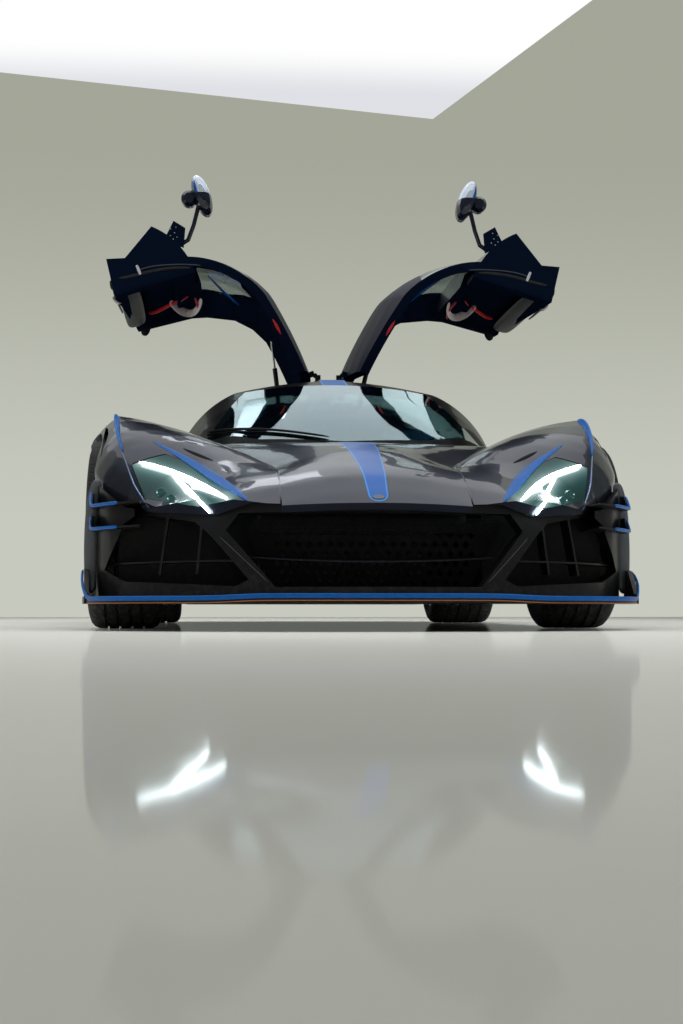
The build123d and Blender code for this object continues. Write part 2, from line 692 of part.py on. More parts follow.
def make_seats():
    """Two bucket seats: shell with side bolsters, and cushions."""
    side = [(-330, 152), (-345, 330), (-300, 340), (60, 275), (210, 430), (330, 800), (395, 800),
            (400, 700), (290, 152)]
    hollow = [(-360, 300), (60, 245), (180, 400), (310, 830), (-360, 830)]
    seat = side_prism(side, 110, 545) - side_prism(hollow, 165, 490)
    return seat + mirrored(seat)


def make_dashboard():
    """Dashboard across the cabin, below the windscreen, and the centre tunnel."""
    across = cabin_skin(DOOR_SKIN + 4, CABIN_FRONT) & side_prism(
        [(-1020, 610), (-1020, 690), (-800, 745), (-680, 740), (-648, 690), (-700, 610)], -560, 560
    )
    tunnel = side_prism([(-860, 150), (-860, 640), (-700, 640), (-300, 400), (480, 330), (480, 150)], -85, 85)
    return one(across + tunnel)


def make_steering_wheel():
    """Steering wheel and its column, on the car's left."""
    plane = Plane(origin=(315, -470, 690), z_dir=(0, 0.94, 0.34))
    ring = plane * Torus(155, 14)
    hub = plane * Cylinder(46, 34)
    bar = plane * Box(300, 34, 16)
    column = rod((315, -470, 690), (315, -640, 629), 24)
    return one(ring + hub + bar + column)


# ---- rear body ----------------------------------------------------------------------
ENGINE_SKIN = 28
REAR_OUTER = cabin_skin(0)
REAR_INNER = cabin_skin(ENGINE_SKIN)
REAR_CLEAR = cabin_skin(-GAP)


def lid_side(lower):
    """Side-view region above the engine cover's lower edge, which may be lowered."""
    edge = [(y, z - lower) for y, z in LID_EDGE]
    return [(edge[0][0] - lower, edge[0][1])] + edge[1:-1] + [
        (edge[-1][0] + lower, edge[-1][1]), (edge[-1][0] + lower, 1200), (edge[0][0] - lower, 1200)
    ]


def make_engine_cover():
    """Engine cover with three louvres across its back."""
    shell = (REAR_OUTER - REAR_INNER) & side_prism(lid_side(0), -900, 900)
    for index in range(4):
        y = 950 + 190 * index
        shell -= block(-190, 190, y, y + 90, 700, 1100)
    return one(shell)


def make_quarter():
    """Left rear quarter with its wheel arch and the foot of the engine cover."""
    quarter = quarter_half()
    quarter -= REAR_CLEAR & side_prism(lid_side(GAP), -900, 900)
    quarter -= REAR_INNER
    quarter -= REAR_HOUSING
    quarter -= block(-100, 560, 300, 2400, 100, 690)
    quarter -= block(0, 762, 1800, 2400, 100, 692)
    quarter -= block(500, 648, 300, 1000, 100, 660)
    quarter -= block(0, 1100, 400, 526, 600, 1200) & CABIN_CLEAR
    # side intake in its front face
    intake = plan_prism([(700, 420), (860, 420), (800, 760), (720, 760)], 400, 640)
    return one(quarter - intake)


def make_tail_panel():
    """Rear deck and tail panel with the exhaust's opening."""
    panel = block(-755, 755, 2250, 2290, 440, 688)
    deck = block(-330, 330, 1995, 2290, 700, 722) + block(-330, 330, 2250, 2290, 680, 722)
    panel += deck
    for x in (-75, 75):
        panel -= rod((x, 2200, 500), (x, 2320, 500), 58)
    panel -= front_prism([(250, 460), (720, 470), (720, 560), (300, 560)], 2200, 2320)
    panel -= front_prism([(-250, 460), (-720, 470), (-720, 560), (-300, 560)], 2200, 2320)
    panel -= rod((TOW_EYE[0], 2200, TOW_EYE[1]), (TOW_EYE[0], 2320, TOW_EYE[1]), TOW_EYE_R)
    return one(panel)


def make_exhaust():
    """Two tail pipes joined by a silencer box."""
    pipes = block(-170, 170, 2060, 2180, 420, 580)
    for x in (-75, 75):
        pipes += rod((x, 2160, 500), (x, 2305, 500), 52)
    for x in (-75, 75):
        pipes -= rod((x, 2190, 500), (x, 2320, 500), 48)
    return one(pipes)


def make_diffuser():
    """Diffuser ramp with its fins."""
    ramp = side_prism([(1856, 100), (2390, 330), (2390, 348), (1856, 118)], -640, 640)
    for x in (-600, -360, -120, 120, 360, 600):
        ramp += side_prism([(1900, 112), (2400, 180), (2400, 345), (1900, 125)], x - 5, x + 5)
    return one(ramp)


def make_rear_wing():
    """Rear wing: blade, end plates and two pylons."""
    top = [Vector(-900, 2110, 1010), Vector(-900, 2230, 1052), Vector(-900, 2418, 1085)]
    low = [Vector(-900, 2418, 1079), Vector(-900, 2240, 1022), Vector(-900, 2110, 1008)]
    profile = Wire([
        Edge.make_three_point_arc(*top), Edge.make_line(top[2], low[0]),
        Edge.make_three_point_arc(*low), Edge.make_line(low[2], top[0]),
    ])
    wing = extrude(Face(profile), 1800, dir=(1, 0, 0))
    for x in (-904, 896):
        wing += side_prism([(2090, 960), (2100, 1040), (2420, 1110), (2420, 980)], x, x + 8)
    for x in (-300, 286):
        wing += side_prism([(2140, 724), (2180, 1024), (2290, 1042), (2250, 724)], x, x + 14)
    return one(wing)


def make_engine():
    """Engine and gearbox, one plain block."""
    return block(-270, 270, 620, 1300, 220, 700) + block(-170, 170, 1300, 1760, 240, 520)


def make_underfloor():
    """Flat floor from the splitter to the diffuser."""
    floor = block(-640, 640, -1690, 1850, *FLOOR_Z)
    floor -= FRONT_HOUSING
    floor -= mirrored(FRONT_HOUSING)
    return one(floor)


def make_side_skirt():
    """Left sill cover with a low blade along the whole wheelbase and two jack pads."""
    sill = front_prism([(645, 120), (930, 100), (925, 140), (845, 300), (790, 345), (645, 345)], -640, 420)
    blade = front_prism([(645, 120), (938, 98), (938, 112), (900, 176), (645, 180)], -925, 1005)
    step = side_prism([(-640, 300), (420, 300), (420, 415), (-200, 385), (-640, 362)], 650, 748)
    skirt = sill + blade + step
    for y in (-700, 850):
        pad = Pos(720, y, 94) * Cylinder(28, 40, align=(Align.CENTER, Align.CENTER, Align.MIN))
        skirt += pad
    return one(skirt)


# ---- assembly -----------------------------------------------------------------------
def main():
    front, rear = WHEEL_SIZES["front"], WHEEL_SIZES["rear"]
    skin = make_front_skin()
    bonnet = make_bonnet(skin)
    fender, lamp = make_fender(skin)
    bumper = make_bumper([bonnet, fender, mirrored(fender), lamp, mirrored(lamp)])
    plate, holes = make_grille()
    write("bonnet", bonnet)
    write("fender_left", fender)
    write("fender_right", mirrored(fender))
    write("headlamps", Compound([lamp, mirrored(lamp)]))
    write("front_bumper", bumper)
    write("grille", one(plate.cut(*holes)))
    write("splitter", make_splitter(bumper))
    write("dive_planes", make_dive_planes([fender, lamp, bumper]))

    write("windscreen", make_windscreen())
    write("cabin_frame", make_cabin_frame())
    write("tub", make_tub())
    write("seats", make_seats())
    write("dashboard", make_dashboard())
    write("steering_wheel", make_steering_wheel())

    door, glass = make_door(), make_door_glass()
    mirror_shell = one(make_mirror() - door)
    barrel, piston_rod = make_strut()
    for side, sign in (("left", 1), ("right", -1)):
        write(f"door_{side}", opened(door, sign))
        write(f"door_glass_{side}", opened(glass, sign))
        write(f"mirror_{side}", opened(mirror_shell, sign))
        write(f"strut_barrel_{side}", barrel if sign > 0 else mirrored(barrel))
        write(f"strut_rod_{side}", piston_rod if sign > 0 else mirrored(piston_rod))

    quarter = make_quarter()
    skirt = make_side_skirt()
    write("rear_quarter_left", quarter)
    write("rear_quarter_right", mirrored(quarter))
    write("side_skirts", Compound([skirt, mirrored(skirt)]))
    write("engine_cover", make_engine_cover())
    write("tail_panel", make_tail_panel())
    write("tail_lamp", block(-700, 700, 2290, 2297, 606, 622))
    write("exhaust", make_exhaust())
    write("diffuser", make_diffuser())
    write("rear_wing", make_rear_wing())
    write("engine", make_engine())
    write("underfloor", make_underfloor())

    arms = make_wishbones(front, True)
    write("front_suspension", Compound(list(arms.solids()) + list(mirrored(arms).solids())))
    arms = one(make_wishbones(rear, False) + make_upright(rear, True))
    write("rear_suspension", Compound([arms, mirrored(arms)]))
    knuckle = make_upright(front, True)
    write("knuckle_left", knuckle)
    write("knuckle_right", mirrored(knuckle))
    for place, size in WHEEL_SIZES.items():
        tyre, rim = make_tyre(size), make_rim(size)
        for side, sign in (("left", 1), ("right", -1)):
            write(f"tyre_{place}_{side}", tyre if sign > 0 else mirrored(tyre))
            write(f"rim_{place}_{side}", rim if sign > 0 else mirrored(rim))


if __name__ == "__main__":
    main()
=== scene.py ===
"""Hypercar with both doors up: finishes, trim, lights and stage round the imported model.

Metres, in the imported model's frame: +X is the car's left, -Y its nose, +Z up. The tables
of points that metres() reads are in millimetres.
"""

import json
from math import cos, pi, radians, sin, sqrt

import bmesh
import bpy
from mathutils import Matrix, Vector
from mathutils.bvhtree import BVHTree


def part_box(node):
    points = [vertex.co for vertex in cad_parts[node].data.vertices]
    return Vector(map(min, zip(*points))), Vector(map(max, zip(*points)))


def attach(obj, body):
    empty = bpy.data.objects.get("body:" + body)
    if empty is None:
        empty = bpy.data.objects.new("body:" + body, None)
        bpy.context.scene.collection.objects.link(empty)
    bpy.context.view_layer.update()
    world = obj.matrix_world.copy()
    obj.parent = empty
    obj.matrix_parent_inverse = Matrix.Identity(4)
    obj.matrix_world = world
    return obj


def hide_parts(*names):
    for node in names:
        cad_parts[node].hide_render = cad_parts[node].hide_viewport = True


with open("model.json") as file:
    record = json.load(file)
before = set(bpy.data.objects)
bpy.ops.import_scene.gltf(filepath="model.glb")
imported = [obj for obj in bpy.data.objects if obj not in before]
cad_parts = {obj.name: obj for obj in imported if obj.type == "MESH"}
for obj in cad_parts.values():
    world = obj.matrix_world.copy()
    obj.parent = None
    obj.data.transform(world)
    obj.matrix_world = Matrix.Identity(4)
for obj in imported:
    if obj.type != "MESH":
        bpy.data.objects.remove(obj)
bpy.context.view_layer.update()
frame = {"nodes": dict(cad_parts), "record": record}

# ---- measures shared with the solids ----
HINGE = Vector((0.058, 0.0, 1.104))          # left door's hinge axis, which runs along Y
DOOR_OPEN = radians(71)
# wheel: x of its centre, axle y, tyre radius, tyre width, rim radius
WHEELS = {
    "front": (0.825, -1.34, 0.345, 0.265, 0.254),
    "rear": (0.830, 1.41, 0.362, 0.330, 0.267),
}
SIDES = {"left": 1, "right": -1}
SEAT_X = 0.3275                              # middle of the left seat
UP, AHEAD = (0, 0, 1), (0, -1, 0)
WELD = 1e-5                                  # corners closer than this become one

NAVY = (0.008, 0.011, 0.026)
BLUE = (0.0, 0.125, 0.50)
PALE_BLUE = (0.02, 0.30, 0.90)
BLACK = (0.008, 0.008, 0.009)


def linked(name, data):
    """An object of the scene that shows some data."""
    thing = bpy.data.objects.new(name, data)
    bpy.context.collection.objects.link(thing)
    return thing


# ---- camera ----
# low over the floor, ahead of the nose and a little to the car's right
EYE, GAZE = Vector((-0.535, -7.34, 0.065)), Vector((0.0836, 1.0, 0.0611))
FOCAL_PIXELS, PICTURE_HEIGHT, SENSOR = 1620.0, 1024.0, 24.0
lens = bpy.data.cameras.new("camera")
lens.sensor_fit, lens.sensor_height = "VERTICAL", SENSOR
lens.lens = FOCAL_PIXELS / PICTURE_HEIGHT * SENSOR
camera = linked("camera", lens)
camera.matrix_world = Matrix.Translation(EYE) @ GAZE.to_track_quat("-Z", "Y").to_matrix().to_4x4()
bpy.context.scene.camera = camera
bpy.context.scene.view_settings.view_transform = "Standard"


# ---- node trees ----
class Signal:
    """A node's output; arithmetic with it adds Math nodes to its tree."""

    def __init__(self, socket):
        self.socket = socket
        self.tree = socket.id_data

    def maths(self, operation, other=0.0, clamp=False):
        """Adds a Math node that takes this as its first value."""
        return signal(self.tree, "ShaderNodeMath", {0: self, 1: other}, operation=operation, use_clamp=clamp)

    def __add__(self, other):
        return self.maths("ADD", other)

    def __sub__(self, other):
        return self.maths("SUBTRACT", other)

    def __mul__(self, other):
        return self.maths("MULTIPLY", other)

    def __gt__(self, other):
        return self.maths("GREATER_THAN", other)

    def __lt__(self, other):
        return self.maths("LESS_THAN", other)

    def __abs__(self):
        return self.maths("ABSOLUTE")


def feed(target, value):
    """Links a signal to an input, or gives the input a plain value."""
    if isinstance(value, Signal):
        value.tree.links.new(value.socket, target)
    else:
        target.default_value = value


def add(tree, kind, inputs=None, **settings):
    """Adds a node; its inputs are plain values or signals."""
    node = tree.nodes.new(kind)
    for key, value in settings.items():
        setattr(node, key, value)
    for key, value in (inputs or {}).items():
        feed(node.inputs[key], value)
    return node


def signal(tree, kind, inputs=None, output=0, **settings):
    """Adds a node and gives one of its outputs."""
    return Signal(add(tree, kind, inputs, **settings).outputs[output])


def mixed(mask, first, second):
    """First colour where the mask is 0, second where it is 1."""
    first, second = (c if isinstance(c, Signal) else (*c, 1.0) for c in (first, second))
    return signal(mask.tree, "ShaderNodeMix", {0: mask, 6: first, 7: second}, 2, data_type="RGBA")


def ramp(value, low, high):
    """Smooth step of a value between two edges, as a mask."""
    inputs = {"Value": value, "From Min": low, "From Max": high}
    return signal(value.tree, "ShaderNodeMapRange", inputs, interpolation_type="SMOOTHSTEP")


def xyz(vector):
    """The three parts of a vector."""
    return [Signal(part) for part in add(vector.tree, "ShaderNodeSeparateXYZ", {0: vector}).outputs]


def noise(vector, scale, detail, roughness=0.5):
    """Fractal noise, around 0.5."""
    inputs = {"Vector": vector, "Scale": scale, "Detail": detail, "Roughness": roughness}
    return signal(vector.tree, "ShaderNodeTexNoise", inputs, "Fac")


def hypotenuse(across, up):
    """Distance from its two parts."""
    return (across * across + up * up).maths("SQRT")


def group_of(name, inputs, build):
    """A node group: inputs are name: default; build(inputs) gives name: output."""
    group = bpy.data.node_groups.new(name, "ShaderNodeTree")
    for label, default in inputs.items():
        kind = "NodeSocketFloat"
        if isinstance(default, tuple):
            kind = "NodeSocketVector" if len(default) == 3 else "NodeSocketColor"
        socket = group.interface.new_socket(label, in_out="INPUT", socket_type=kind)
        socket.default_value = default
    taken = group.nodes.new("NodeGroupInput").outputs
    outputs = build({label: Signal(taken[label]) for label in inputs})
    for label, value in outputs.items():
        group.interface.new_socket(label, in_out="OUTPUT", socket_type=value.socket.bl_idname)
    given = group.nodes.new("NodeGroupOutput").inputs
    for label, value in outputs.items():
        feed(given[label], value)
    return group


def surface(given):
    """Colour drift, dust low down and fine grain, as every finish has them."""
    place = given["Vector"]
    swing = (noise(place, given["Drift Scale"], 5.0, 0.6) - 0.5) * given["Drift"]
    tint = {0: given["Color"], "Scale": swing * 2.0 + 1.0}
    tint = signal(place.tree, "ShaderNodeVectorMath", tint, operation="SCALE")
    low_down = ramp(xyz(place)[2], 0.42, 0.05)
    specks = ramp(noise(place, 46.0, 8.0, 0.7), 0.42, 0.75)
    dust = low_down * specks * given["Dust"]
    rough = (given["Roughness"] + swing).maths("ADD", dust * 0.5, clamp=True)
    grain = noise(place, given["Grain Scale"], 3.0)
    bump = {"Strength": given["Grain"], "Distance": 0.001, "Height": grain}
    return {
        "Color": mixed(dust, tint, (0.30, 0.28, 0.25)),
        "Roughness": rough,
        "Normal": signal(place.tree, "ShaderNodeBump", bump),
    }


def twill(given):
    """Twill of a woven composite, as a colour."""
    x, y, z = xyz(given["Vector"])
    u = (x + z * 0.8) * given["Pitch"]
    v = (y + z * 0.6) * given["Pitch"]
    over = abs(u + v.maths("FLOOR")).maths("MODULO", 4.0) > 2.0
    thread = abs((u * 9.4).maths("SINE"))
    return {"Color": mixed(over * 0.8 + thread * 0.2, (0.0035, 0.0035, 0.004), (0.017, 0.017, 0.019))}


def flakes(given):
    """Metal flakes under a clear coat, as a brightness to add."""
    tree = given["Vector"].tree
    cells = {"Vector": given["Vector"], "Scale": 1400.0}
    cells = signal(tree, "ShaderNodeTexVoronoi", cells, "Color")
    bright = signal(tree, "ShaderNodeSeparateColor", {0: cells}).maths("POWER", 6.0)
    return {"Glint": bright * given["Amount"]}


NOWHERE = (0.0, 0.0, 0.0)
SURFACE = group_of("surface", {
    "Vector": NOWHERE, "Color": (1.0, 1.0, 1.0, 1.0), "Roughness": 0.4, "Drift": 0.15,
    "Drift Scale": 6.0, "Dust": 0.1, "Grain": 0.1, "Grain Scale": 300.0}, surface)
TWILL = group_of("twill", {"Vector": NOWHERE, "Pitch": 420.0}, twill)
FLAKES = group_of("flakes", {"Vector": NOWHERE, "Amount": 0.2}, flakes)


# ---- finishes ----
def blank(name):
    """A new material, its emptied tree and its object coordinates."""
    material = bpy.data.materials.new(name)
    material.use_nodes = True
    tree = material.node_tree
    tree.nodes.clear()
    return material, tree, signal(tree, "ShaderNodeTexCoord", output="Object")


def finish(name, colour=BLACK, roughness=0.4, metallic=0.0, drift=0.12, drift_scale=6.0, dust=0.15,
           grain=0.06, grain_scale=400.0, pattern=None, glow=None, relief=None, sockets=None):
    """A material. From the object's coordinates, pattern gives a colour and a lacquer weight or
    None, and glow an emission colour; relief is (height function, axle, depth)."""
    material, tree, at = blank(name)
    base, lacquer = pattern(at) if pattern else ((*colour, 1.0), None)
    coat = add(tree, "ShaderNodeGroup", {
        "Vector": at, "Color": base, "Roughness": roughness, "Drift": drift,
        "Drift Scale": drift_scale, "Dust": dust, "Grain": grain, "Grain Scale": grain_scale,
    }, node_tree=SURFACE).outputs
    inputs = {
        "Base Color": Signal(coat["Color"]), "Roughness": Signal(coat["Roughness"]),
        "Normal": Signal(coat["Normal"]), "Metallic": metallic, **(sockets or {}),
    }
    if lacquer is not None:
        inputs["Coat Weight"] = lacquer
    if glow:
        inputs["Emission Color"] = glow(at)
    if relief:
        height_of, axle, depth = relief
        bump = {"Strength": 1.0, "Distance": depth, "Height": height_of(at, axle), "Normal": inputs["Normal"]}
        inputs["Normal"] = signal(tree, "ShaderNodeBump", bump)
    add(tree, "ShaderNodeOutputMaterial", {0: signal(tree, "ShaderNodeBsdfPrincipled", inputs)})
    return material


def metallic_paint(at, colour):
    """Colour of metallic paint with its flakes."""
    glint = signal(at.tree, "ShaderNodeGroup", {"Vector": at, "Amount": 0.16}, node_tree=FLAKES)
    return mixed(glint, colour, tuple(min(1.0, c * 3 + 0.05) for c in colour))


def woven(at):
    """Bare twill."""
    return signal(at.tree, "ShaderNodeGroup", {"Vector": at}, node_tree=TWILL), None


def painted(colour):
    """Metallic paint of one colour."""
    return lambda at: (metallic_paint(at, colour), None)


def striped(at, base, half_widths, edge, lacquer, foot=None, heights=None):
    """Centre stripe with a pale outline, laid over a base colour, and the lacquer's weight.

    half_widths: (y, half width) at two ends. lacquer: weights beside and on the stripe.
    foot: y where the stripe ends in a half round. heights: z between which it shows."""
    x, y, z = xyz(at)
    (y0, wide0), (y1, wide1) = half_widths
    half = {"Value": y, "From Min": y0, "From Max": y1, "To Min": wide0, "To Max": wide1}
    half = signal(at.tree, "ShaderNodeMapRange", half)
    inside = half - abs(x)
    if foot is not None:
        before = (y - foot).maths("MINIMUM", 0.0) * 0.9
        inside = inside.maths("MINIMUM", half - hypotenuse(before, x))
    band, core = inside > 0.0, inside > edge
    if heights:
        shown = (z > heights[0]) * (z < heights[1])
        band, core = band * shown, core * shown
    beside, on_band = lacquer
    return mixed(core, mixed(band, base, PALE_BLUE), BLUE), band * (on_band - beside) + beside


def bonnet_pattern(at):
    """Navy paint with the centre stripe that widens from the nose."""
    return striped(at, metallic_paint(at, NAVY), ((-2.32, 0.031), (-1.66, 0.060)), 0.0045,
                   (0.64, 0.06), foot=-2.318)


def roof_pattern(at):
    """Black composite frame with the centre stripe along the roof."""
    return striped(at, woven(at)[0], ((-0.7, 0.053), (0.5, 0.053)), 0.005, (0.2, 0.0),
                   heights=(0.985, 1.078))


def lid_pattern(at):
    """Navy paint with the stripe running on to the tail."""
    return striped(at, metallic_paint(at, NAVY), ((0.5, 0.053), (2.0, 0.034)), 0.005, (0.8, 0.3))


def mirror_pattern(at):
    """Silver upper cap with a blue edge stripe; navy below."""
    x, _, z = xyz(at)
    inside = (z - 1.794) * 0.276 + 0.5754 - abs(x)
    above = z > 1.802
    banded = mixed(above * (inside > -0.010), metallic_paint(at, NAVY), BLUE)
    return mixed(above * (inside > 0.0), banded, (0.74, 0.80, 0.90)), None


def distance_to(x, z, start, end):
    """Distance in front view from a line between two x, z points, on either side of the car."""
    dx, dz = end[0] - start[0], end[1] - start[1]
    squared = dx ** 2 + dz ** 2
    across, up = abs(x) - start[0], z - start[1]
    share = (across * (dx / squared)).maths("ADD", up * (dz / squared), clamp=True)
    return hypotenuse(across - share * dx, up - share * dz)


def lens_glow(at):
    """Light that the lamp's blades scatter in its cover, teal further out."""
    x, _, z = xyz(at)
    blade = distance_to(x, z, (0.764, 0.566), (0.606, 0.508))
    for start, end in (((0.606, 0.508), (0.467, 0.415)), ((0.648, 0.512), (0.522, 0.369))):
        blade = blade.maths("MINIMUM", distance_to(x, z, start, end))
    near, far = ((blade * (-1 / reach)).maths("EXPONENT") for reach in (0.0095, 0.036))
    return mixed(near, mixed(far, (0.006, 0.018, 0.018), (0.05, 0.18, 0.17)), (0.60, 0.74, 0.72))


def round_axle(at, axle):
    """Angle and radius round a wheel's axle."""
    _, y, z = xyz(at)
    along, up = y - WHEELS[axle][1], z - WHEELS[axle][2]
    return up.maths("ARCTAN2", along), hypotenuse(along, up)


def drilled(at, axle, holes=48, lean=60.0, rings=52.0):
    """Rows of drilled holes in a disc: holes to a turn, rings to a metre."""
    angle, radius = round_axle(at, axle)
    turn = angle * (holes / (2 * pi)) + radius * lean
    return ramp(hypotenuse(turn.maths("FRACT") - 0.5, (radius * rings).maths("FRACT") - 0.5), 0.16, 0.24)


def tread_blocks(at, axle, cuts=52, lean=26.0, middle=0.827):
    """Slanted cuts across a tyre's tread, which lean both ways from its middle."""
    angle, _ = round_axle(at, axle)
    turn = angle * (cuts / (2 * pi)) + abs(abs(xyz(at)[0]) - middle) * lean
    return ramp(abs(turn.maths("FRACT") - 0.5), 0.05, 0.11)


def coated(weight=0.0, roughness=0.03, specular=0.5):
    """A shader's coat and the shine below it."""
    return {"Coat Weight": weight, "Coat Roughness": roughness, "Specular IOR Level": specular}


def lit(colour, strength):
    """A shader's own light."""
    return {"Emission Color": (*colour, 1.0), "Emission Strength": strength}


def lamp_light(name, colour, strength):
    """Light that shines from a lamp."""
    return finish(name, colour, 0.3, drift=0.05, dust=0.0, sockets=lit(colour, strength))


def lacquered(name, pattern, roughness=0.32, metallic=0.45, dust=0.05, specular=0.5):
    """A pattern under clear lacquer."""
    return finish(name, roughness=roughness, metallic=metallic, dust=dust, grain=0.02, pattern=pattern,
                  sockets={**CLEARCOAT, "Specular IOR Level": specular})


CLEARCOAT = {"Coat Weight": 0.64, "Coat Roughness": 0.03, "Coat IOR": 1.45,
             "Coat Tint": (0.84, 0.92, 1.0, 1.0)}
FINISH = {
    "paint": lacquered("navy_paint", painted(NAVY), metallic=0.55),
    "bonnet": lacquered("bonnet_paint", bonnet_pattern),
    "lid": lacquered("lid_paint", lid_pattern),
    "mirror": lacquered("mirror_cap", mirror_pattern, 0.22, 0.25, dust=0.0),
    # pale grey-blue that paints the highlight along each wing blade's lower line
    "blade_highlight": lacquered("painted_blade_highlight", painted((0.10, 0.17, 0.33)), 0.3, 0.4, dust=0.03),
    "roof": lacquered("roof_composite", roof_pattern, 0.35, 0.2, specular=0.08),
    # light grey that paints the reflection on the panels ahead of the front wheels
    "reflection_grey": finish("grey_painted_reflection", (0.17, 0.172, 0.18), metallic=0.2, dust=0.05, grain=0.02,
            sockets=CLEARCOAT),
    "arm": finish("arm_paint", dust=0.03, grain=0.03, pattern=painted(NAVY), sockets=coated(specular=0.03)),
    "blue": finish("blue_trim", roughness=0.42, dust=0.05, grain=0.02, pattern=painted(BLUE),
            sockets=coated(0.12, 0.05, 0.2)),
    "caliper": finish("caliper_paint", roughness=0.3, dust=0.1, grain=0.05, pattern=painted(BLUE),
            sockets=coated(0.6, 0.05)),
    "weave": finish("lacquered_twill", roughness=0.34, dust=0.06, grain=0.03, pattern=woven,
            sockets=CLEARCOAT),
    # less lacquer on the black parts low down and inside
    "dark_weave": finish("satin_twill", roughness=0.42, dust=0.08, grain=0.04, pattern=woven,
            sockets=coated(0.14, 0.12, 0.22)),
    "satin": finish("satin_black", (0.012, 0.012, 0.013), 0.45, grain=0.1, dust=0.2),
    "matte": finish("matte_black", (0.02, 0.02, 0.021), 0.75, grain=0.3, dust=0.3),
    "seal": finish("seal_rubber", (0.006, 0.006, 0.007), 0.6, grain=0.2, dust=0.05),
    "frit": finish("black_frit", (0.004, 0.004, 0.005), 0.45, dust=0.0, grain=0.1,
            sockets=coated(specular=0.06)),
    # near-black that paints the shade inside openings: the grille, the wing slots and the vents
    "painted_shade": finish("painted_shade_black", (0.002, 0.002, 0.002), 0.9, dust=0.0),
    # pale navy that paints thin highlight lines: the mouth's lower bar, the posts' edges and the door jamb's
    # seam
    "line": finish("painted_highlight_line", (0.055, 0.060, 0.085), dust=0.0),
    "pearl": finish("striker_pearl", (0.62, 0.64, 0.66), 0.35, dust=0.0),
    "card": finish("door_card", (0.004, 0.009, 0.024), 0.6, drift=0.25, drift_scale=5.0, grain=0.25,
            grain_scale=500.0, dust=0.0, sockets=coated(specular=0.0)),
    "card_sheen": finish("card_vinyl", (0.014, 0.016, 0.022), 0.42, grain=0.2, grain_scale=500.0,
            dust=0.0, sockets=coated(specular=0.10)),
    "leather": finish("pale_leather", (0.82, 0.72, 0.72), 0.5, drift=0.1, drift_scale=30.0,
            grain=0.35, grain_scale=650.0, dust=0.0),
    "red": finish("red_webbing", (0.62, 0.02, 0.03), 0.55, grain=0.4, grain_scale=900.0, dust=0.0),
    "alloy": finish("dark_alloy", (0.05, 0.052, 0.056), 0.32, metallic=0.9, grain=0.03,
            sockets=coated(0.5, 0.1)),
    "steel": finish("machined_steel", (0.42, 0.42, 0.43), 0.35, metallic=1.0, grain=0.1,
            grain_scale=900.0),
    "polished": finish("polished_steel", (0.62, 0.62, 0.63), 0.14, metallic=1.0, grain=0.02),
    "dark_chrome": finish("dark_chrome", (0.16, 0.17, 0.19), 0.2, metallic=1.0, grain=0.02),
    "red_metal": finish("red_anodised", (0.45, 0.01, 0.015), 0.28, metallic=0.9, grain=0.05),
    "copper": finish("copper_line", (0.55, 0.20, 0.07), 0.35, metallic=0.6, dust=0.1),
    "mesh": finish("grille_wire", (0.030, 0.032, 0.036), metallic=0.6, dust=0.1),
    "exhaust": finish("heat_tinted_steel", (0.30, 0.24, 0.20), 0.3, metallic=1.0, drift=0.5,
            drift_scale=14.0),
    "engine": finish("cast_metal", (0.13, 0.13, 0.13), 0.6, metallic=0.7, drift=0.3, grain=0.5),
    "screen": finish("windscreen_glass", (0.26, 0.36, 0.37), 0.02, drift=0.02, dust=0.02, grain=0.01,
            sockets={**coated(1.0, 0.02), "Transmission Weight": 1.0, "IOR": 1.7,
            "Specular Tint": (0.72, 0.93, 1.0, 1.0), "Coat IOR": 1.9,
            "Coat Tint": (0.8, 0.95, 1.0, 1.0)}),
    "window": finish("window_glass", (0.62, 0.70, 0.70), 0.02, drift=0.02, dust=0.02, grain=0.01,
            sockets={**coated(0.6, 0.02), "Transmission Weight": 1.0, "IOR": 1.45}),
    "lens": finish("lamp_lens", (0.004, 0.010, 0.012), 0.12, dust=0.0, grain=0.01, glow=lens_glow,
            sockets={**coated(0.05, 0.03, 0.12), "Emission Strength": 1.0}),
    "light": lamp_light("white_light", (0.86, 0.98, 1.0), 16.0),
    "tail": lamp_light("red_light", (0.8, 0.02, 0.02), 1.2),
    "eye": finish("projector_glass", (0.06, 0.10, 0.10), 0.12, metallic=0.7, dust=0.0,
            sockets=lit((0.25, 0.75, 0.68), 0.06)),
    "screen_face": finish("screen_face", (0.004, 0.005, 0.007), 0.12, dust=0.0,
            sockets={**lit((0.02, 0.08, 0.16), 0.25), "Coat Weight": 0.8}),
}
for axle in WHEELS:
    FINISH[f"tyre_{axle}"] = finish(
        f"tyre_rubber_{axle}", (0.015, 0.015, 0.016), 0.7, drift=0.3, grain=0.35, grain_scale=700.0,
        dust=0.35, relief=(tread_blocks, axle, 0.006))
    FINISH[f"disc_{axle}"] = finish(
        f"ceramic_disc_{axle}", (0.10, 0.095, 0.09), 0.42, metallic=0.5, grain=0.3, drift=0.3,
        drift_scale=60.0, relief=(drilled, axle, 0.004))

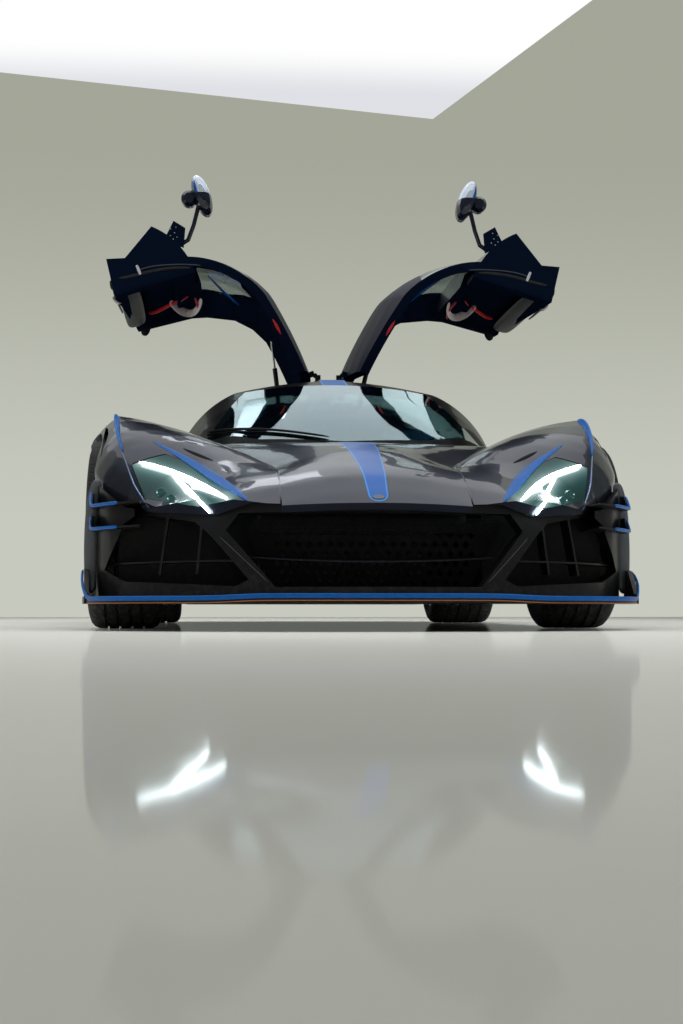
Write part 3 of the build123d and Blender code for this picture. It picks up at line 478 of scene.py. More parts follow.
# which finish each solid wears; the tyres are made anew below
NODE_FINISH = {node: key for key, nodes in {
    "bonnet": "bonnet", "lens": "headlamps", "dark_weave": "front_bumper splitter dive_planes",
    "weave": "side_skirts tail_panel diffuser rear_wing tub seats", "tail": "tail_lamp",
    "exhaust": "exhaust", "matte": "underfloor", "engine": "engine", "roof": "cabin_frame",
    # the grille wears near-black as painted shade in the mouth
    "screen": "windscreen", "satin": "dashboard steering_wheel", "painted_shade": "grille",
    "steel": "front_suspension rear_suspension", "lid": "engine_cover",
}.items() for node in nodes.split()}
for key, nodes in {
    "paint": "fender rear_quarter door", "window": "door_glass", "mirror": "mirror",
    "satin": "strut_barrel", "polished": "strut_rod", "steel": "knuckle",
    "alloy": "rim_front rim_rear",
}.items():
    NODE_FINISH.update((f"{node}_{side}", key) for node in nodes.split() for side in SIDES)
for node, key in NODE_FINISH.items():
    frame["nodes"][node].data.materials.clear()
    frame["nodes"][node].data.materials.append(FINISH[key])
BODY_OF = {
    node: body for body, nodes in frame["record"]["behaviour"]["bodies"].items() for node in nodes
}


# ---- making pieces ----
def metres(rows):
    """Rows of numbers that are given in millimetres."""
    return [tuple(number / 1000 for number in row) for row in rows]


def mirrored(vector, sign):
    """A place or direction, or its mirror image across the car when the sign is -1."""
    return Vector((sign * vector[0], vector[1], vector[2]))


def placed(centre, degrees=0.0, axis="X"):
    """Matrix that turns a shape and moves it to its centre."""
    return Matrix.Translation(centre) @ Matrix.Rotation(radians(degrees), 4, axis)


def mesh_piece(name, work, material):
    """An object made of a bmesh, in one material."""
    mesh = bpy.data.meshes.new(name)
    work.to_mesh(mesh)
    work.free()
    mesh.materials.append(material)
    return linked(name, mesh)


def finished(name, work, key, body="body", sharp=40.0, levels=0, replaces=(), outward=True):
    """Makes a finished bmesh a piece that rides on its body."""
    if outward:
        bmesh.ops.remove_doubles(work, verts=work.verts, dist=WELD)
        bmesh.ops.recalc_face_normals(work, faces=work.faces)
    for face in work.faces:
        face.smooth = True
    for edge in work.edges:
        if len(edge.link_faces) == 2:
            edge.smooth = edge.calc_face_angle() < radians(sharp)
    thing = mesh_piece(name, work, FINISH[key])
    if levels:
        smooth = thing.modifiers.new("rounding", "SUBSURF")
        smooth.levels = smooth.render_levels = levels
    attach(thing, body)
    for node in replaces:
        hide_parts(node)
    return thing


def merged(node):
    """A CAD node's mesh with its loose triangles joined."""
    work = bmesh.new()
    work.from_mesh(frame["nodes"][node].data)
    bmesh.ops.remove_doubles(work, verts=work.verts, dist=WELD)
    return work


def skin_of(node, work, extra=(), even=True):
    """The piece that stands for a CAD node: its finish, extra ones, and even shading."""
    thing = finished(f"{node}_skin", work, NODE_FINISH[node], BODY_OF[node], 28.0,
                     replaces=(node,), outward=False)
    for key in extra:
        thing.data.materials.append(FINISH[key])
    if even:
        thing.modifiers.new("even_shading", "WEIGHTED_NORMAL").keep_sharp = True


def relaxed(work, low, high, cell=0.03, rounds=60, steps=(0.6, -0.62)):
    """Slices a merged mesh into even cells, then eases its shallow creases."""
    for axis in range(3):
        across = Vector([float(axis == k) for k in range(3)])
        count = int((high[axis] - low[axis]) / cell)
        for step in range(1, count):
            bmesh.ops.bisect_plane(
                work, geom=work.verts[:] + work.edges[:] + work.faces[:], dist=1e-6,
                plane_co=across * (low[axis] + step * cell), plane_no=across,
            )
    shallow = radians(24)
    free = [
        vertex for vertex in work.verts
        if all(len(e.link_faces) == 2 and e.calc_face_angle() < shallow for e in vertex.link_edges)
    ]
    for _ in range(rounds):
        for factor in steps:
            bmesh.ops.smooth_vert(work, verts=free, factor=factor, use_axis_x=True,
                                  use_axis_y=True, use_axis_z=True)
    return work


def ring_edges(ring):
    """Edges of a fresh ring of vertices."""
    return list({edge for vertex in ring for edge in vertex.link_edges})


def swept_mesh(work, stations, round_trip=False):
    """Adds an eight-sided bar along stations of (centre, half width, half height, up)."""
    points = [Vector(s[0]) for s in stations]
    last = len(points) - 1
    loops = []
    for index, (_, wide, high, up) in enumerate(stations):
        if round_trip:
            ahead = points[(index + 1) % (last + 1)] - points[index - 1]
        else:
            ahead = points[min(index + 1, last)] - points[max(index - 1, 0)]
        ahead.normalize()
        across = ahead.cross(Vector(up)).normalized()
        over = across.cross(ahead).normalized()
        turn = Matrix((across * wide, over * high, ahead)).transposed().to_4x4()
        turn.translation = points[index]
        ring = bmesh.ops.create_circle(work, segments=8, radius=1.0, matrix=turn)["verts"]
        loops.append(ring_edges(ring))
    pairs = list(zip(loops, loops[1:]))
    if round_trip:
        pairs.append((loops[-1], loops[0]))
    for first, second in pairs:
        bmesh.ops.bridge_loops(work, edges=first + second)
    if not round_trip:
        for loop in (loops[0], loops[-1]):
            bmesh.ops.contextual_create(work, geom=loop)


def swept(name, stations, key, body="body", levels=2, round_trip=False):
    """Piece made of one swept bar."""
    work = bmesh.new()
    swept_mesh(work, stations, round_trip)
    finished(name, work, key, body, levels=levels)


def on_side(stations, sign):
    """Stations of the left side, or their mirror image across the car when the sign is -1."""
    return [(mirrored(spot, sign), wide, high, mirrored(up, sign)) for spot, wide, high, up in stations]


def swept_pair(name, stations, key, body="body", levels=2):
    """A swept piece on either side, from stations of the left side and the left body."""
    for side, sign in SIDES.items():
        swept(f"{name}_{side}", on_side(stations, sign), key, body.replace("left", side), levels)


def even_bar(points, wide, high, up=UP):
    """Stations of one section along some points."""
    return [(point, wide, high, up) for point in points]


SKINS = {}


def skin_tree(node):
    """Search tree of a CAD node's faces."""
    if node not in SKINS:
        work = bmesh.new()
        work.from_mesh(frame["nodes"][node].data)
        SKINS[node] = BVHTree.FromBMesh(work)
        work.free()
    return SKINS[node]


def on_skin(nodes, point):
    """Nearest place on some CAD nodes, and the way out of the skin there."""
    hits = [skin_tree(node).find_nearest(point) for node in nodes]
    spot, normal, _, _ = min(hits, key=lambda hit: hit[3])
    return spot, normal


def ahead_of(nodes, x, z, gap=0.0):
    """Point in front of the first of some nodes met along +Y, and the skin's normal."""
    hits = [skin_tree(node).ray_cast(Vector((x, -3.0, z)), Vector((0, 1, 0))) for node in nodes]
    spot, normal, _, _ = min((hit for hit in hits if hit[0]), key=lambda hit: hit[0].y)
    return spot + Vector((0, -gap, 0.3 * gap)), normal


def facing_stations(nodes, rows, high, gap=0.0, up=None):
    """Stations where rows of (x, z, half width) meet some nodes along +Y."""
    hits = [(*ahead_of(nodes, x, z, gap), wide) for x, z, wide in rows]
    return [(spot, wide, high, up or normal) for spot, normal, wide in hits]


def over(node, x, y):
    """Top of a CAD node above x, y, and the skin's normal there."""
    spot, normal, _, _ = skin_tree(node).ray_cast(Vector((x, y, 1.5)), Vector((0, 0, -1)))
    return spot, normal


def laid_strips(name, key, nodes, rows, lift=0.0):
    """Strip laid on a skin, on both sides; rows and nodes are the left side's."""
    for side, sign in SIDES.items():
        near = [node.replace("left", side) for node in nodes]
        stations = []
        for x, y, z, wide, high in metres(rows):
            spot, normal = on_skin(near, mirrored((x, y, z), sign))
            stations.append((spot + normal * lift, wide, high, normal))
        swept(f"{name}_{side}", stations, key)


def spun(work, profile, centre, steps):
    """Adds a turned shape; profile rows are (distance along X from the centre, radius)."""
    verts = [work.verts.new(centre + Vector((along, 0, radius))) for along, radius in profile]
    edges = [work.edges.new(pair) for pair in zip(verts, verts[1:])]
    if profile[0][1] and profile[-1][1]:
        edges.append(work.edges.new((verts[-1], verts[0])))
    bmesh.ops.spin(work, geom=verts + edges, cent=centre, axis=(1, 0, 0), angle=2 * pi, steps=steps,
                   use_merge=True)


def cone(work, sides, foot, tip, depth, matrix):
    """Adds a capped stump of a cone."""
    bmesh.ops.create_cone(work, cap_ends=True, segments=sides, radius1=foot, radius2=tip, depth=depth,
                          matrix=matrix)


def inset(work, face, margin, depth):
    """Sinks a face inside a margin."""
    bmesh.ops.inset_individual(work, faces=[face], thickness=margin, depth=-depth)


def wire_mesh(name, cells, size, slant, centre, thickness):
    """Upright grid of wires that faces along Y."""
    work = bmesh.new()
    bmesh.ops.create_grid(work, x_segments=cells[0], y_segments=cells[1], size=0.5)
    bmesh.ops.transform(work, matrix=Matrix.Diagonal((*size, 1, 1)), verts=work.verts)
    for vert in work.verts:
        vert.co.x += slant * vert.co.y
    bmesh.ops.rotate(work, matrix=Matrix.Rotation(radians(90), 3, "X"), verts=work.verts)
    bmesh.ops.translate(work, vec=centre, verts=work.verts)
    wires = finished(name, work, "mesh", outward=False).modifiers.new("wires", "WIREFRAME")
    wires.thickness, wires.use_even_offset = thickness, False


def on_sides(*parts):
    """Names of some nodes on the left, then on the right."""
    return [f"{part}_{side}" for side in SIDES for part in parts]


# ---- skins ----
for node in ["headlamps", "splitter", "front_bumper", "dive_planes", "exhaust", "rear_wing",
             "side_skirts", "steering_wheel",
             *on_sides("mirror", "strut_barrel", "strut_rod", "rim_front", "rim_rear")]:
    skin_of(node, merged(node))
for node in ["bonnet", "engine_cover", *on_sides("fender", "rear_quarter", "door_glass")]:
    skin_of(node, relaxed(merged(node), *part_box(node)), even=False)
glass = relaxed(merged("windscreen"), *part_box("windscreen"), 0.04, 45, (0.5,))
skin_of("windscreen", glass, even=False)

# dull black on the frame's strip at the windscreen's foot
STRIP_TOP, STRIP_BACK = 0.80, -0.86
work = merged("cabin_frame")
for face in work.faces:
    spot = face.calc_center_median()
    face.material_index = int(spot.z < STRIP_TOP and spot.y < STRIP_BACK)
skin_of("cabin_frame", work, ["frit"])

# doors: paint outside, a card inside, and the arm by the roof; told apart as if shut
PAINT_SLOT, CARD_SLOT, ARM_SLOT = range(3)
ARM_FOOT, CABIN_MIDDLE, LEAST_OUTWARD = 0.93, 0.45, 0.25
for side, sign in SIDES.items():
    node = f"door_{side}"
    work = relaxed(merged(node), *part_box(node), 0.04, 30)
    hinge, shut = mirrored(HINGE, sign), Matrix.Rotation(sign * DOOR_OPEN, 3, "Y")
    for face in work.faces:
        centre = shut @ (face.calc_center_median() - hinge) + hinge
        out = Vector((centre.x, 0, centre.z - CABIN_MIDDLE)).normalized()
        outer = ARM_SLOT if centre.z > ARM_FOOT else PAINT_SLOT
        inward = (shut @ face.normal).dot(out) < LEAST_OUTWARD
        face.material_index = CARD_SLOT if inward else outer
    skin_of(node, work, ["card", "arm"])

# ---- nose ----
WING = ["fender_left"]
LAMP_NODES = ["headlamps", "fender_left", "bonnet", "front_bumper"]
# x, z and half width of the left lamp's light blades
LAMP_ROWS = [(764, 566, 5), (735, 557, 7.5), (690, 543, 7.5), (640, 524, 7.8), (585, 496, 7.5),
             (530, 461, 6.5), (492, 431, 6), (467, 412, 4)]
FORK_ROWS = [(648, 512, 4), (612, 478, 6.5), (585, 445, 6.5), (558, 412, 6.5), (535, 385, 5.5),
             (522, 369, 3.5)]
for side, sign in SIDES.items():
    work = bmesh.new()
    for rows in (LAMP_ROWS, FORK_ROWS):
        blade = facing_stations(LAMP_NODES, metres(rows), 0.005, 0.009, (0, -0.85, 0.5))
        swept_mesh(work, on_side(blade, sign))
    finished(f"lamp_blades_{side}", work, "light", levels=2)
    # projector eyes under the light blades
    work = bmesh.new()
    facing = Vector((0, -1, 0.1)).to_track_quat("Z", "Y").to_matrix().to_4x4()
    for x, z, radius in ((0.684, 0.452, 0.019), (0.650, 0.430, 0.016)):
        spot, _ = ahead_of(LAMP_NODES, x, z, 0.002)
        cone(work, 32, radius, radius * 0.8, 0.012, Matrix.Translation(mirrored(spot, sign)) @ facing)
    for face in [f for f in work.faces if len(f.verts) > 8 and f.normal.y < -0.5]:
        inset(work, face, 0.004, 0.003)
    finished(f"projectors_{side}", work, "eye", sharp=30)

# strips let into or laid on the skins: x, y, z, half width, half height
laid_strips("wing_blade", "blue", WING, [
    (858, -1330, 776, 4, 12), (861, -1400, 768, 9, 24), (856, -1500, 735, 10, 24),
    (840, -1630, 668, 7, 14), (822, -1730, 608, 4, 7)
], 0.003)
# the pale line down each wing blade is a painted highlight
laid_strips("wing_line", "blade_highlight", WING, [
    (832, -1690, 632, 2, 3), (800, -1820, 545, 3, 5), (777, -1884, 485.5, 3, 5), (748, -1950, 440, 3, 4),
    (719, -2005, 398, 2.5, 3)
], 0.002)
# dark slots on the wings are near-black strips of painted shade
laid_strips("wing_slot", "painted_shade", WING, [
    (838, -1400, 776, 4, 1.5), (828, -1520, 735, 12, 2), (808, -1660, 660, 12, 2),
    (786, -1780, 580, 7, 2), (765, -1860, 515, 3, 1.5)
])

# leaf stripe over each lamp: x, z, half width; its end by the bonnet stands prouder
LEAF_ROWS = [(722, 650, 2), (696.5, 635.5, 6), (608, 582, 15), (523.5, 517, 21), (460, 458, 19),
             (422, 424, 10), (405, 408, 2)]
leaf = facing_stations(["fender_left", "bonnet"], metres(LEAF_ROWS), 0.0018)
swept_pair("leaf_stripe", [(spot + up * (0.0005 if spot.x > 0.5 else 0.0035), wide, high, up)
                           for spot, wide, high, up in leaf], "blue")
# the vents are near-black strips of painted shade
laid_strips("wing_vent", "painted_shade", ["fender_left", "bonnet"], [
    (618, -1778, 620, 2, 1.5), (585, -1812, 603, 10, 2), (545, -1848, 584, 10, 2),
    (510, -1876, 568, 2, 1.5)
])


# the splitter in plan: half its width, how far its nose reaches ahead of its back, the curve's power
SPLITTER_HALF, SPLITTER_REACH, SPLITTER_BACK, CURVE = 0.956, 0.72, -1.70, 0.87
RIM_BACK = -1.90                             # the rim runs ahead of this y


def rim_stations(proud, height, wide, high, tips=()):
    """Stations round the splitter's edge, right to left; tips carry it on up each fence."""
    half = []
    for step in range(19):
        turn = radians(90 * step / 18)
        x = (SPLITTER_HALF + proud) * sin(turn) ** CURVE
        y = SPLITTER_BACK - (SPLITTER_REACH + proud) * cos(turn) ** CURVE
        half.append((x, y, height + 0.007 * (1 - min(1, max(0, (x - 0.40) / 0.10)))))
    half = [point for point in half if point[1] < RIM_BACK] + list(tips)
    return even_bar([(-x, y, z) for x, y, z in reversed(half[1:])] + half, wide, high)


FENCE = [(0.948, -1.872, 0.150), (0.9535, -1.80, 0.186), (0.957, -1.712, 0.204)]
swept("splitter_lip", rim_stations(0.001, 0.1035, 0.005, 0.0085, FENCE), "blue", levels=1)
swept("splitter_line", rim_stations(0.0, 0.0895, 0.0035, 0.0022), "copper", levels=1)

# curled edges of the dive planes, and the rims of their upturned ends
for side, sign in SIDES.items():
    for label, height in (("low", 0.334), ("high", 0.412)):
        edge = [0.822 + 0.098 * step / 5 for step in range(6)]
        edge = [(x, -1.453 - sqrt(1.010 ** 2 - x ** 2), height + 0.003) for x in edge]
        edge += [(0.925, -1.838, height + 0.012), (0.926, -1.80, height + 0.048),
                 (0.926, -1.745, height + 0.054)]
        edge = [mirrored(point, sign) for point in edge]
        swept(f"plane_edge_{label}_{side}", even_bar(edge, 0.005, 0.0065), "blue", levels=1)

# seam strips between bonnet and wings: x, y
SEAM_LINE = [(302, -2268), (301, -2250), (300, -2200), (300, -2100), (300, -1980), (300, -1880),
             (350, -1740), (400, -1600), (460, -1470), (520, -1340), (548, -1170), (572, -1020)]
for side, sign in SIDES.items():
    stations = []
    for x, y in metres(SEAM_LINE):
        inner, lean = over("bonnet", sign * (x - 0.004), y)
        outer, other = over(f"fender_{side}", sign * (x + 0.009), y)
        if inner and outer:
            middle = (inner + outer) / 2 - Vector((0, 0, 0.0006))
            stations.append(((sign * (x + 0.003), y, middle.z), 0.006, 0.0014, lean + other))
    _, y, z = stations[0][0]
    foot = [((sign * 0.3045, y - back, z - drop), 0.0062, 0.0014, (0, -1, tilt))
            for back, drop, tilt in ((0.008, 0.032, 0.3), (0.006, 0.010, 0.6))]
    swept(f"bonnet_seam_{side}", foot + stations, "paint")

# panel ahead of each front wheel, in light grey that paints its reflection: x, z, half width, half thickness
PANEL_ROWS = [(926, 118, 22, 6), (931, 220, 24, 7), (930, 340, 25, 7), (922, 450, 25, 7), (906, 520, 20, 6)]
swept_pair("corner_panel", [((x, -1.738, z), wide, high, (0, 1, 0))
                            for x, z, wide, high in metres(PANEL_ROWS)], "reflection_grey")

# oval badge at the stripe's foot, left plain
work = bmesh.new()
seat, out = on_skin(["bonnet"], (0.0, -2.331, 0.418))
lean = out.to_track_quat("Z", "Y").to_matrix().to_4x4()
cone(work, 40, 0.0215, 0.0195, 0.004, Matrix.Translation(seat) @ lean @ Matrix.Diagonal((1, 0.62, 1, 1)))
inset(work, max(work.faces, key=lambda f: f.calc_center_median().z), 0.004, 0.001)
finished("nose_badge", work, "dark_chrome", sharp=30)

# fine mesh across the top of the mouth, its lower bar in pale navy that paints a highlight line, and a
# painted highlight strip down each post beside it
wire_mesh("mouth_mesh", (72, 10), (0.80, 0.055), 0.55, (0.0, -2.141, 0.338), 0.0022)
bar = [(0.40 * share, -2.178 + 0.03 * share ** 2, 0.2215 + 0.0145 * share ** 2)
       for share in (step / 5 for step in range(-5, 6))]
swept("mouth_bar", even_bar(bar, 0.004, 0.0035), "line")
post = [(0.495 - 0.0385 * step, 0.300 - 0.0375 * step, 0.0016) for step in range(5)]
swept_pair("post_edge", facing_stations(["front_bumper"], post, 0.0022), "line")

# wiper across the foot of the windscreen: x, z, the arm's half width
WIPER_ROWS = [(-540, 768, 6), (-490, 771, 12), (-400, 771, 12.5), (-288, 767, 10), (-170, 751, 8),
              (-56, 731, 5)]
for name, drop in (("wiper_arm", 0.0), ("wiper_blade", 0.012)):
    rows = [(x, z - drop, 0.005 if drop else wide) for x, z, wide in metres(WIPER_ROWS)]
    swept(name, facing_stations(["windscreen", "cabin_frame"], rows, 0.004, 0.012 - 0.5 * drop,
                                (0, -0.5, 0.85)), "frit")

# ---- open doors ----
# straps, latch gear, pads and seams; places are the left door's, when it is open
DOWN = (-0.3, 0, -0.95)
# name, finish, the way the strip's thickness faces; x, y, z, half width, half thickness
DOOR_STRIPS = [
    ("pull_strap", "red", AHEAD, [
        (814, 162, 1447, 8, 2), (785, 140, 1440, 10, 2.5), (745, 105, 1452, 10, 2.5),
        (707.5, 60, 1466, 10, 2.5), (661, -60, 1462, 9, 2.5), (617, -190, 1458, 7, 2)]),
    ("strap_loop", "red", AHEAD, [
        (592, -130, 1466, 6, 2), (580, -40, 1455, 7, 2.5), (577, 60, 1444, 7, 2.5),
        (586, 150, 1438, 7, 2.5), (602, 215, 1452, 6, 2)]),
    ("leather_loop", "leather", AHEAD, [
        (706, 20, 1476, 10, 3), (684, 50, 1460, 20, 4), (655, 80, 1440, 22, 5), (618, 100, 1430, 20, 5),
        (588, 70, 1436, 17, 4), (570, 0, 1454, 13, 4), (562, -100, 1468, 8, 3)]),
    ("arm_stripe", "red", AHEAD, [
        (261.5, -555.3, 1297, 1, 1), (251, -551, 1281, 6, 1.5), (240.8, -544.8, 1263.6, 7.5, 1.5),
        (231, -539, 1247, 5, 1.5), (223.3, -533.9, 1231.5, 1, 1)]),
    ("glass_line", "blue", AHEAD, [
        (536, -24.6, 1588, 4, 3), (505, 80, 1580, 6, 3), (470, 180, 1562, 6, 3), (425, 240, 1535, 6, 3),
        (383.1, 270, 1506, 4, 3)]),
    ("striker", "pearl", AHEAD, [
        (829, -642.5, 1497, 5, 3), (827, -642.5, 1493, 6.5, 3), (814, -642.5, 1461, 6.5, 3),
        (812, -642.5, 1457, 5, 3)]),
    # the jamb seam's pale line is a painted highlight
    ("jamb_seam", "line", AHEAD, [
        (835, -641.5, 1470, 2.5, 2), (780, -641.5, 1492, 2.5, 2), (700, -641.5, 1502, 2.5, 2),
        (610, -641.5, 1504, 2.5, 2), (560, -641.5, 1500, 2.5, 2)]),
    ("jamb_seal", "seal", AHEAD, [
        (905, -640.5, 1440, 6, 3), (850, -640.5, 1448, 7, 3), (770, -640.5, 1474, 7, 3),
        (680, -640.5, 1489, 7, 3), (600, -640.5, 1490, 6, 3)]),
    ("card_pad", "card_sheen", DOWN, [
        (872, -600, 1402, 28, 4), (866, -560, 1404, 48, 12), (862, -400, 1405, 52, 14),
        (862, -50, 1405, 52, 14), (862, 230, 1405, 50, 13), (866, 290, 1404, 30, 4)]),
    ("latch_rail", "satin", AHEAD, [
        (936, -615, 1462, 5, 5), (928, -600, 1418, 6, 6), (922, -540, 1384, 6, 6),
        (912, -380, 1374, 6, 6), (905, -200, 1372, 5, 5)]),
    ("latch_claw", "satin", AHEAD, [
        (938, -600, 1440, 5, 6), (934, -600, 1424, 8, 9), (930, -600, 1410, 10, 10),
        (926, -600, 1398, 6, 6)]),
    ("latch_hook", "steel", AHEAD, [
        (934, -500, 1392, 6, 7), (922, -500, 1376, 10, 10), (908, -500, 1362, 10, 10),
        (896, -500, 1364, 5, 6)]),
    ("card_tab", "card_sheen", AHEAD, [
        (822, 372, 1440, 22, 10), (826, 372, 1415, 26, 12), (830, 372, 1392, 24, 12),
        (836, 372, 1372, 12, 8)]),
]
for name, key, up, rows in DOOR_STRIPS:
    stations = [((x, y, z), wide, high, up) for x, y, z, wide, high in metres(rows)]
    swept_pair(name, stations, key, "door_left")
STUDS = [(667, 1660), (690, 1652), (672, 1636), (690, 1624), (662, 1618), (678, 1610)]
for side, sign in SIDES.items():
    work = bmesh.new()
    for x, z in metres(STUDS):
        cone(work, 8, 0.0024, 0.0018, 0.003, placed((sign * x, -0.6415, z), 90))
    finished(f"plate_studs_{side}", work, "pearl", f"door_{side}", sharp=30)


# ---- wheels ----
def tyre_profile(radius, width, rim_radius):
    """Half-open section of a tyre with four grooves round its tread."""
    half = width / 2
    left = [(-half + 0.019, rim_radius + 0.001), (-half + 0.008, rim_radius + 0.012),
            (-half + 0.001, (rim_radius + radius) / 2 - 0.010), (-half + 0.003, radius - 0.040),
            (-half + 0.010, radius - 0.020), (-half + 0.020, radius - 0.008),
            (-half + 0.036, radius - 0.0015)]
    tread = []
    for share in (-0.62, -0.22, 0.22, 0.62):
        middle = share * (half - 0.03)
        tread += [(middle + across, radius - deep) for across, deep in
                  ((-0.006, 0.0003), (-0.0045, 0.0075), (0.0045, 0.0075), (0.006, 0.0003))]
    right = [(-x, r) for x, r in reversed(left)]
    return left + tread + right


def each_wheel():
    """Axle and side, side's sign, centre, tyre radius and width, and rim radius of every wheel."""
    for axle, (x, y, radius, width, rim_radius) in WHEELS.items():
        for side, sign in SIDES.items():
            centre = Vector((sign * x, y, radius))
            yield axle, f"{axle}_{side}", sign, centre, radius, width, rim_radius


# centre-lock nut with its collar: way out from the rim's face, radius
NUT_ROWS = [(-6, 0), (-6, 52), (2, 50), (4, 36), (20, 31), (24, 26), (22, 14), (14, 11), (14, 0)]
for axle, wheel, sign, centre, radius, width, rim_radius in each_wheel():
    work = bmesh.new()
    spun(work, tyre_profile(radius, width, rim_radius), centre, 96)
    finished(f"tyre_tread_{wheel}", work, f"tyre_{axle}", f"wheel_{wheel}", sharp=34,
             replaces=(f"tyre_{wheel}",))
    work = bmesh.new()
    rim_face = width / 2 - 0.028
    spun(work, [(sign * (rim_face + out), r) for out, r in metres(NUT_ROWS)], centre, 12)
    finished(f"wheel_nut_{wheel}", work, "blue" if sign > 0 else "red_metal", f"wheel_{wheel}", sharp=25)


# ---- cabin ----
def cushion(name, centre, size, degrees, channels):
    """Crowned pad with sewn channels across it; size is width, length, thickness."""
    work = bmesh.new()
    bmesh.ops.create_cube(work, size=1.0)
    bmesh.ops.subdivide_edges(work, edges=work.edges[:], cuts=15, use_grid_fill=True)
    wide, long, thick = size
    for vert in work.verts:
        u, v, w = vert.co * 2
        crown = (1 - u ** 4) * (1 - v ** 4)
        groove = sum(0.011 * 2.72 ** -(((v - channel) / 0.055) ** 2) for channel in channels)
        pinch = 1 - 0.045 * (1 - abs(w)) - 0.02 * (1 - abs(v)) * abs(u)
        rise = (0.62 + 0.38 * crown) * thick / 2 * w
        if w > 0.6:
            rise -= groove * (1 - abs(u) ** 8) - 0.004 * abs(u) ** 2
        vert.co = Vector((u * wide / 2 * pinch, v * long / 2 * pinch, rise))
    bmesh.ops.transform(work, matrix=placed(centre, degrees), verts=work.verts)
    pad = finished(name, work, "leather", sharp=80, levels=1)


# belts: way outward from the seat's middle, y, z, half width, half thickness
SHOULDER_ROWS = [(62, 300, 715, 18, 1.4), (62, 256, 640, 20, 1.6), (54, 212, 500, 20, 1.6),
                 (40, 130, 372, 19, 1.6), (12, 35, 345, 16, 1.6)]
SHOULDER_FACING = [(0, -1, 0.3)] * 3 + [(0, -1, 0.4), (0, -0.5, 1)]
LAP_ROWS = [(-140, -20, 318, 18, 1.4), (-80, 10, 342, 19, 1.6), (0, 22, 348, 19, 1.6),
            (80, 10, 342, 19, 1.6), (140, -20, 318, 18, 1.4)]
for side, sign in SIDES.items():
    x = sign * SEAT_X
    cushion(f"seat_pad_{side}", (x, -0.140, 0.302), (0.296, 0.375, 0.058), -7.7, (-0.45, 0.0, 0.45))
    cushion(f"back_pad_{side}", (x, 0.205, 0.520), (0.290, 0.430, 0.052), 72.5, (-0.6, -0.2, 0.2, 0.6))
    cushion(f"head_pad_{side}", (x, 0.300, 0.760), (0.200, 0.100, 0.044), 75, ())
    for label, way in (("inner", -sign), ("outer", sign)):
        swept(f"harness_{label}_{side}", [
            ((x + way * out, y, z), wide, high, facing)
            for (out, y, z, wide, high), facing in zip(metres(SHOULDER_ROWS), SHOULDER_FACING)], "red")
    swept(f"lap_belt_{side}", [((x + out, y, z), wide, high, UP)
                               for out, y, z, wide, high in metres(LAP_ROWS)], "red")
    # blue edge along the skirt
    skirt = [(sign * 0.934, y, 0.105) for y in (-0.92, -0.6, 0.0, 0.6, 1.0)]
    swept(f"skirt_edge_{side}", even_bar(skirt, 0.004, 0.006), "blue", levels=1)

work = bmesh.new()
for sign in SIDES.values():
    cone(work, 28, 0.5, 0.42, 1.0,
         placed((sign * SEAT_X, 0.026, 0.356), 20) @ Matrix.Diagonal((0.052, 0.052, 0.016, 1)))
finished("harness_buckles", work, "steel", sharp=30)

# screen ahead of the steering wheel, and a screen on the tunnel
for name, centre, size, degrees in (("dial_screen", (0.315, -0.672, 0.765), (0.235, 0.105), 64),
                                    ("tunnel_screen", (0.0, -0.655, 0.652), (0.128, 0.120), 52)):
    work = bmesh.new()
    bmesh.ops.create_cube(work, size=1.0, matrix=Matrix.Diagonal((*size, 0.014, 1)))
    bmesh.ops.bevel(work, geom=work.edges[:], offset=0.005, offset_type="OFFSET", segments=3,
                    profile=0.5, affect="EDGES", material=-1)
    inset(work, max(work.faces, key=lambda f: f.normal.z * f.calc_area()), 0.008, 0.0015)
    bmesh.ops.transform(work, matrix=placed(centre, degrees), verts=work.verts)
    finished(name, work, "screen_face", sharp=30)

# ---- tail ----
for label, sign in SIDES.items():
    ring = [2 * pi * step / 20 for step in range(20)]
    ring = [(sign * 0.075 + 0.050 * cos(a), 2.306, 0.500 + 0.050 * sin(a)) for a in ring]
    ring = even_bar(ring, 0.0032, 0.0032, (0, 1, 0))
    swept(f"pipe_lip_{label}", ring, "exhaust", levels=1, round_trip=True)
    wire_mesh(f"tail_mesh_{label}", (34, 8), (0.47, 0.11), 0.4, (sign * 0.490, 2.262, 0.515), 0.003)
    plate = [(sign * 0.900, y, z) for y, z in ((2.092, 0.964), (2.20, 0.967), (2.414, 0.979))]
    swept(f"plate_edge_{label}", even_bar(plate, 0.005, 0.0035), "blue", levels=1)
for name, key, span, y, z, wide, high in (
        ("wing_lip", "dark_weave", (-0.892, -0.5, 0.0, 0.5, 0.892), 2.412, 1.086, 0.003, 0.006),
        ("lamp_bar", "tail", (-0.690, -0.4, 0.0, 0.4, 0.690), 2.297, 0.640, 0.004, 0.0045)):
    swept(name, even_bar([(x, y, z) for x in span], wide, high), key, levels=1)

# ---- brakes ----
# where a caliper's faces are on its node: y from the axle, height from it, x from the middle
CALIPER_SPAN, CALIPER_HEIGHT, CALIPER_INNER = (-0.236, -0.149), 0.092, 0.80
for node, axle in (("knuckle_left", "front"), ("knuckle_right", "front"), ("rear_suspension", "rear")):
    work = merged(node)
    _, axle_y, axle_z, _, _ = WHEELS[axle]
    for face in work.faces:
        spot = face.calc_center_median()
        face.material_index = int(
            CALIPER_SPAN[0] < spot.y - axle_y < CALIPER_SPAN[1]
            and abs(spot.z - axle_z) < CALIPER_HEIGHT and abs(spot.x) > CALIPER_INNER)
    skin_of(node, work, ["caliper"], even=False)
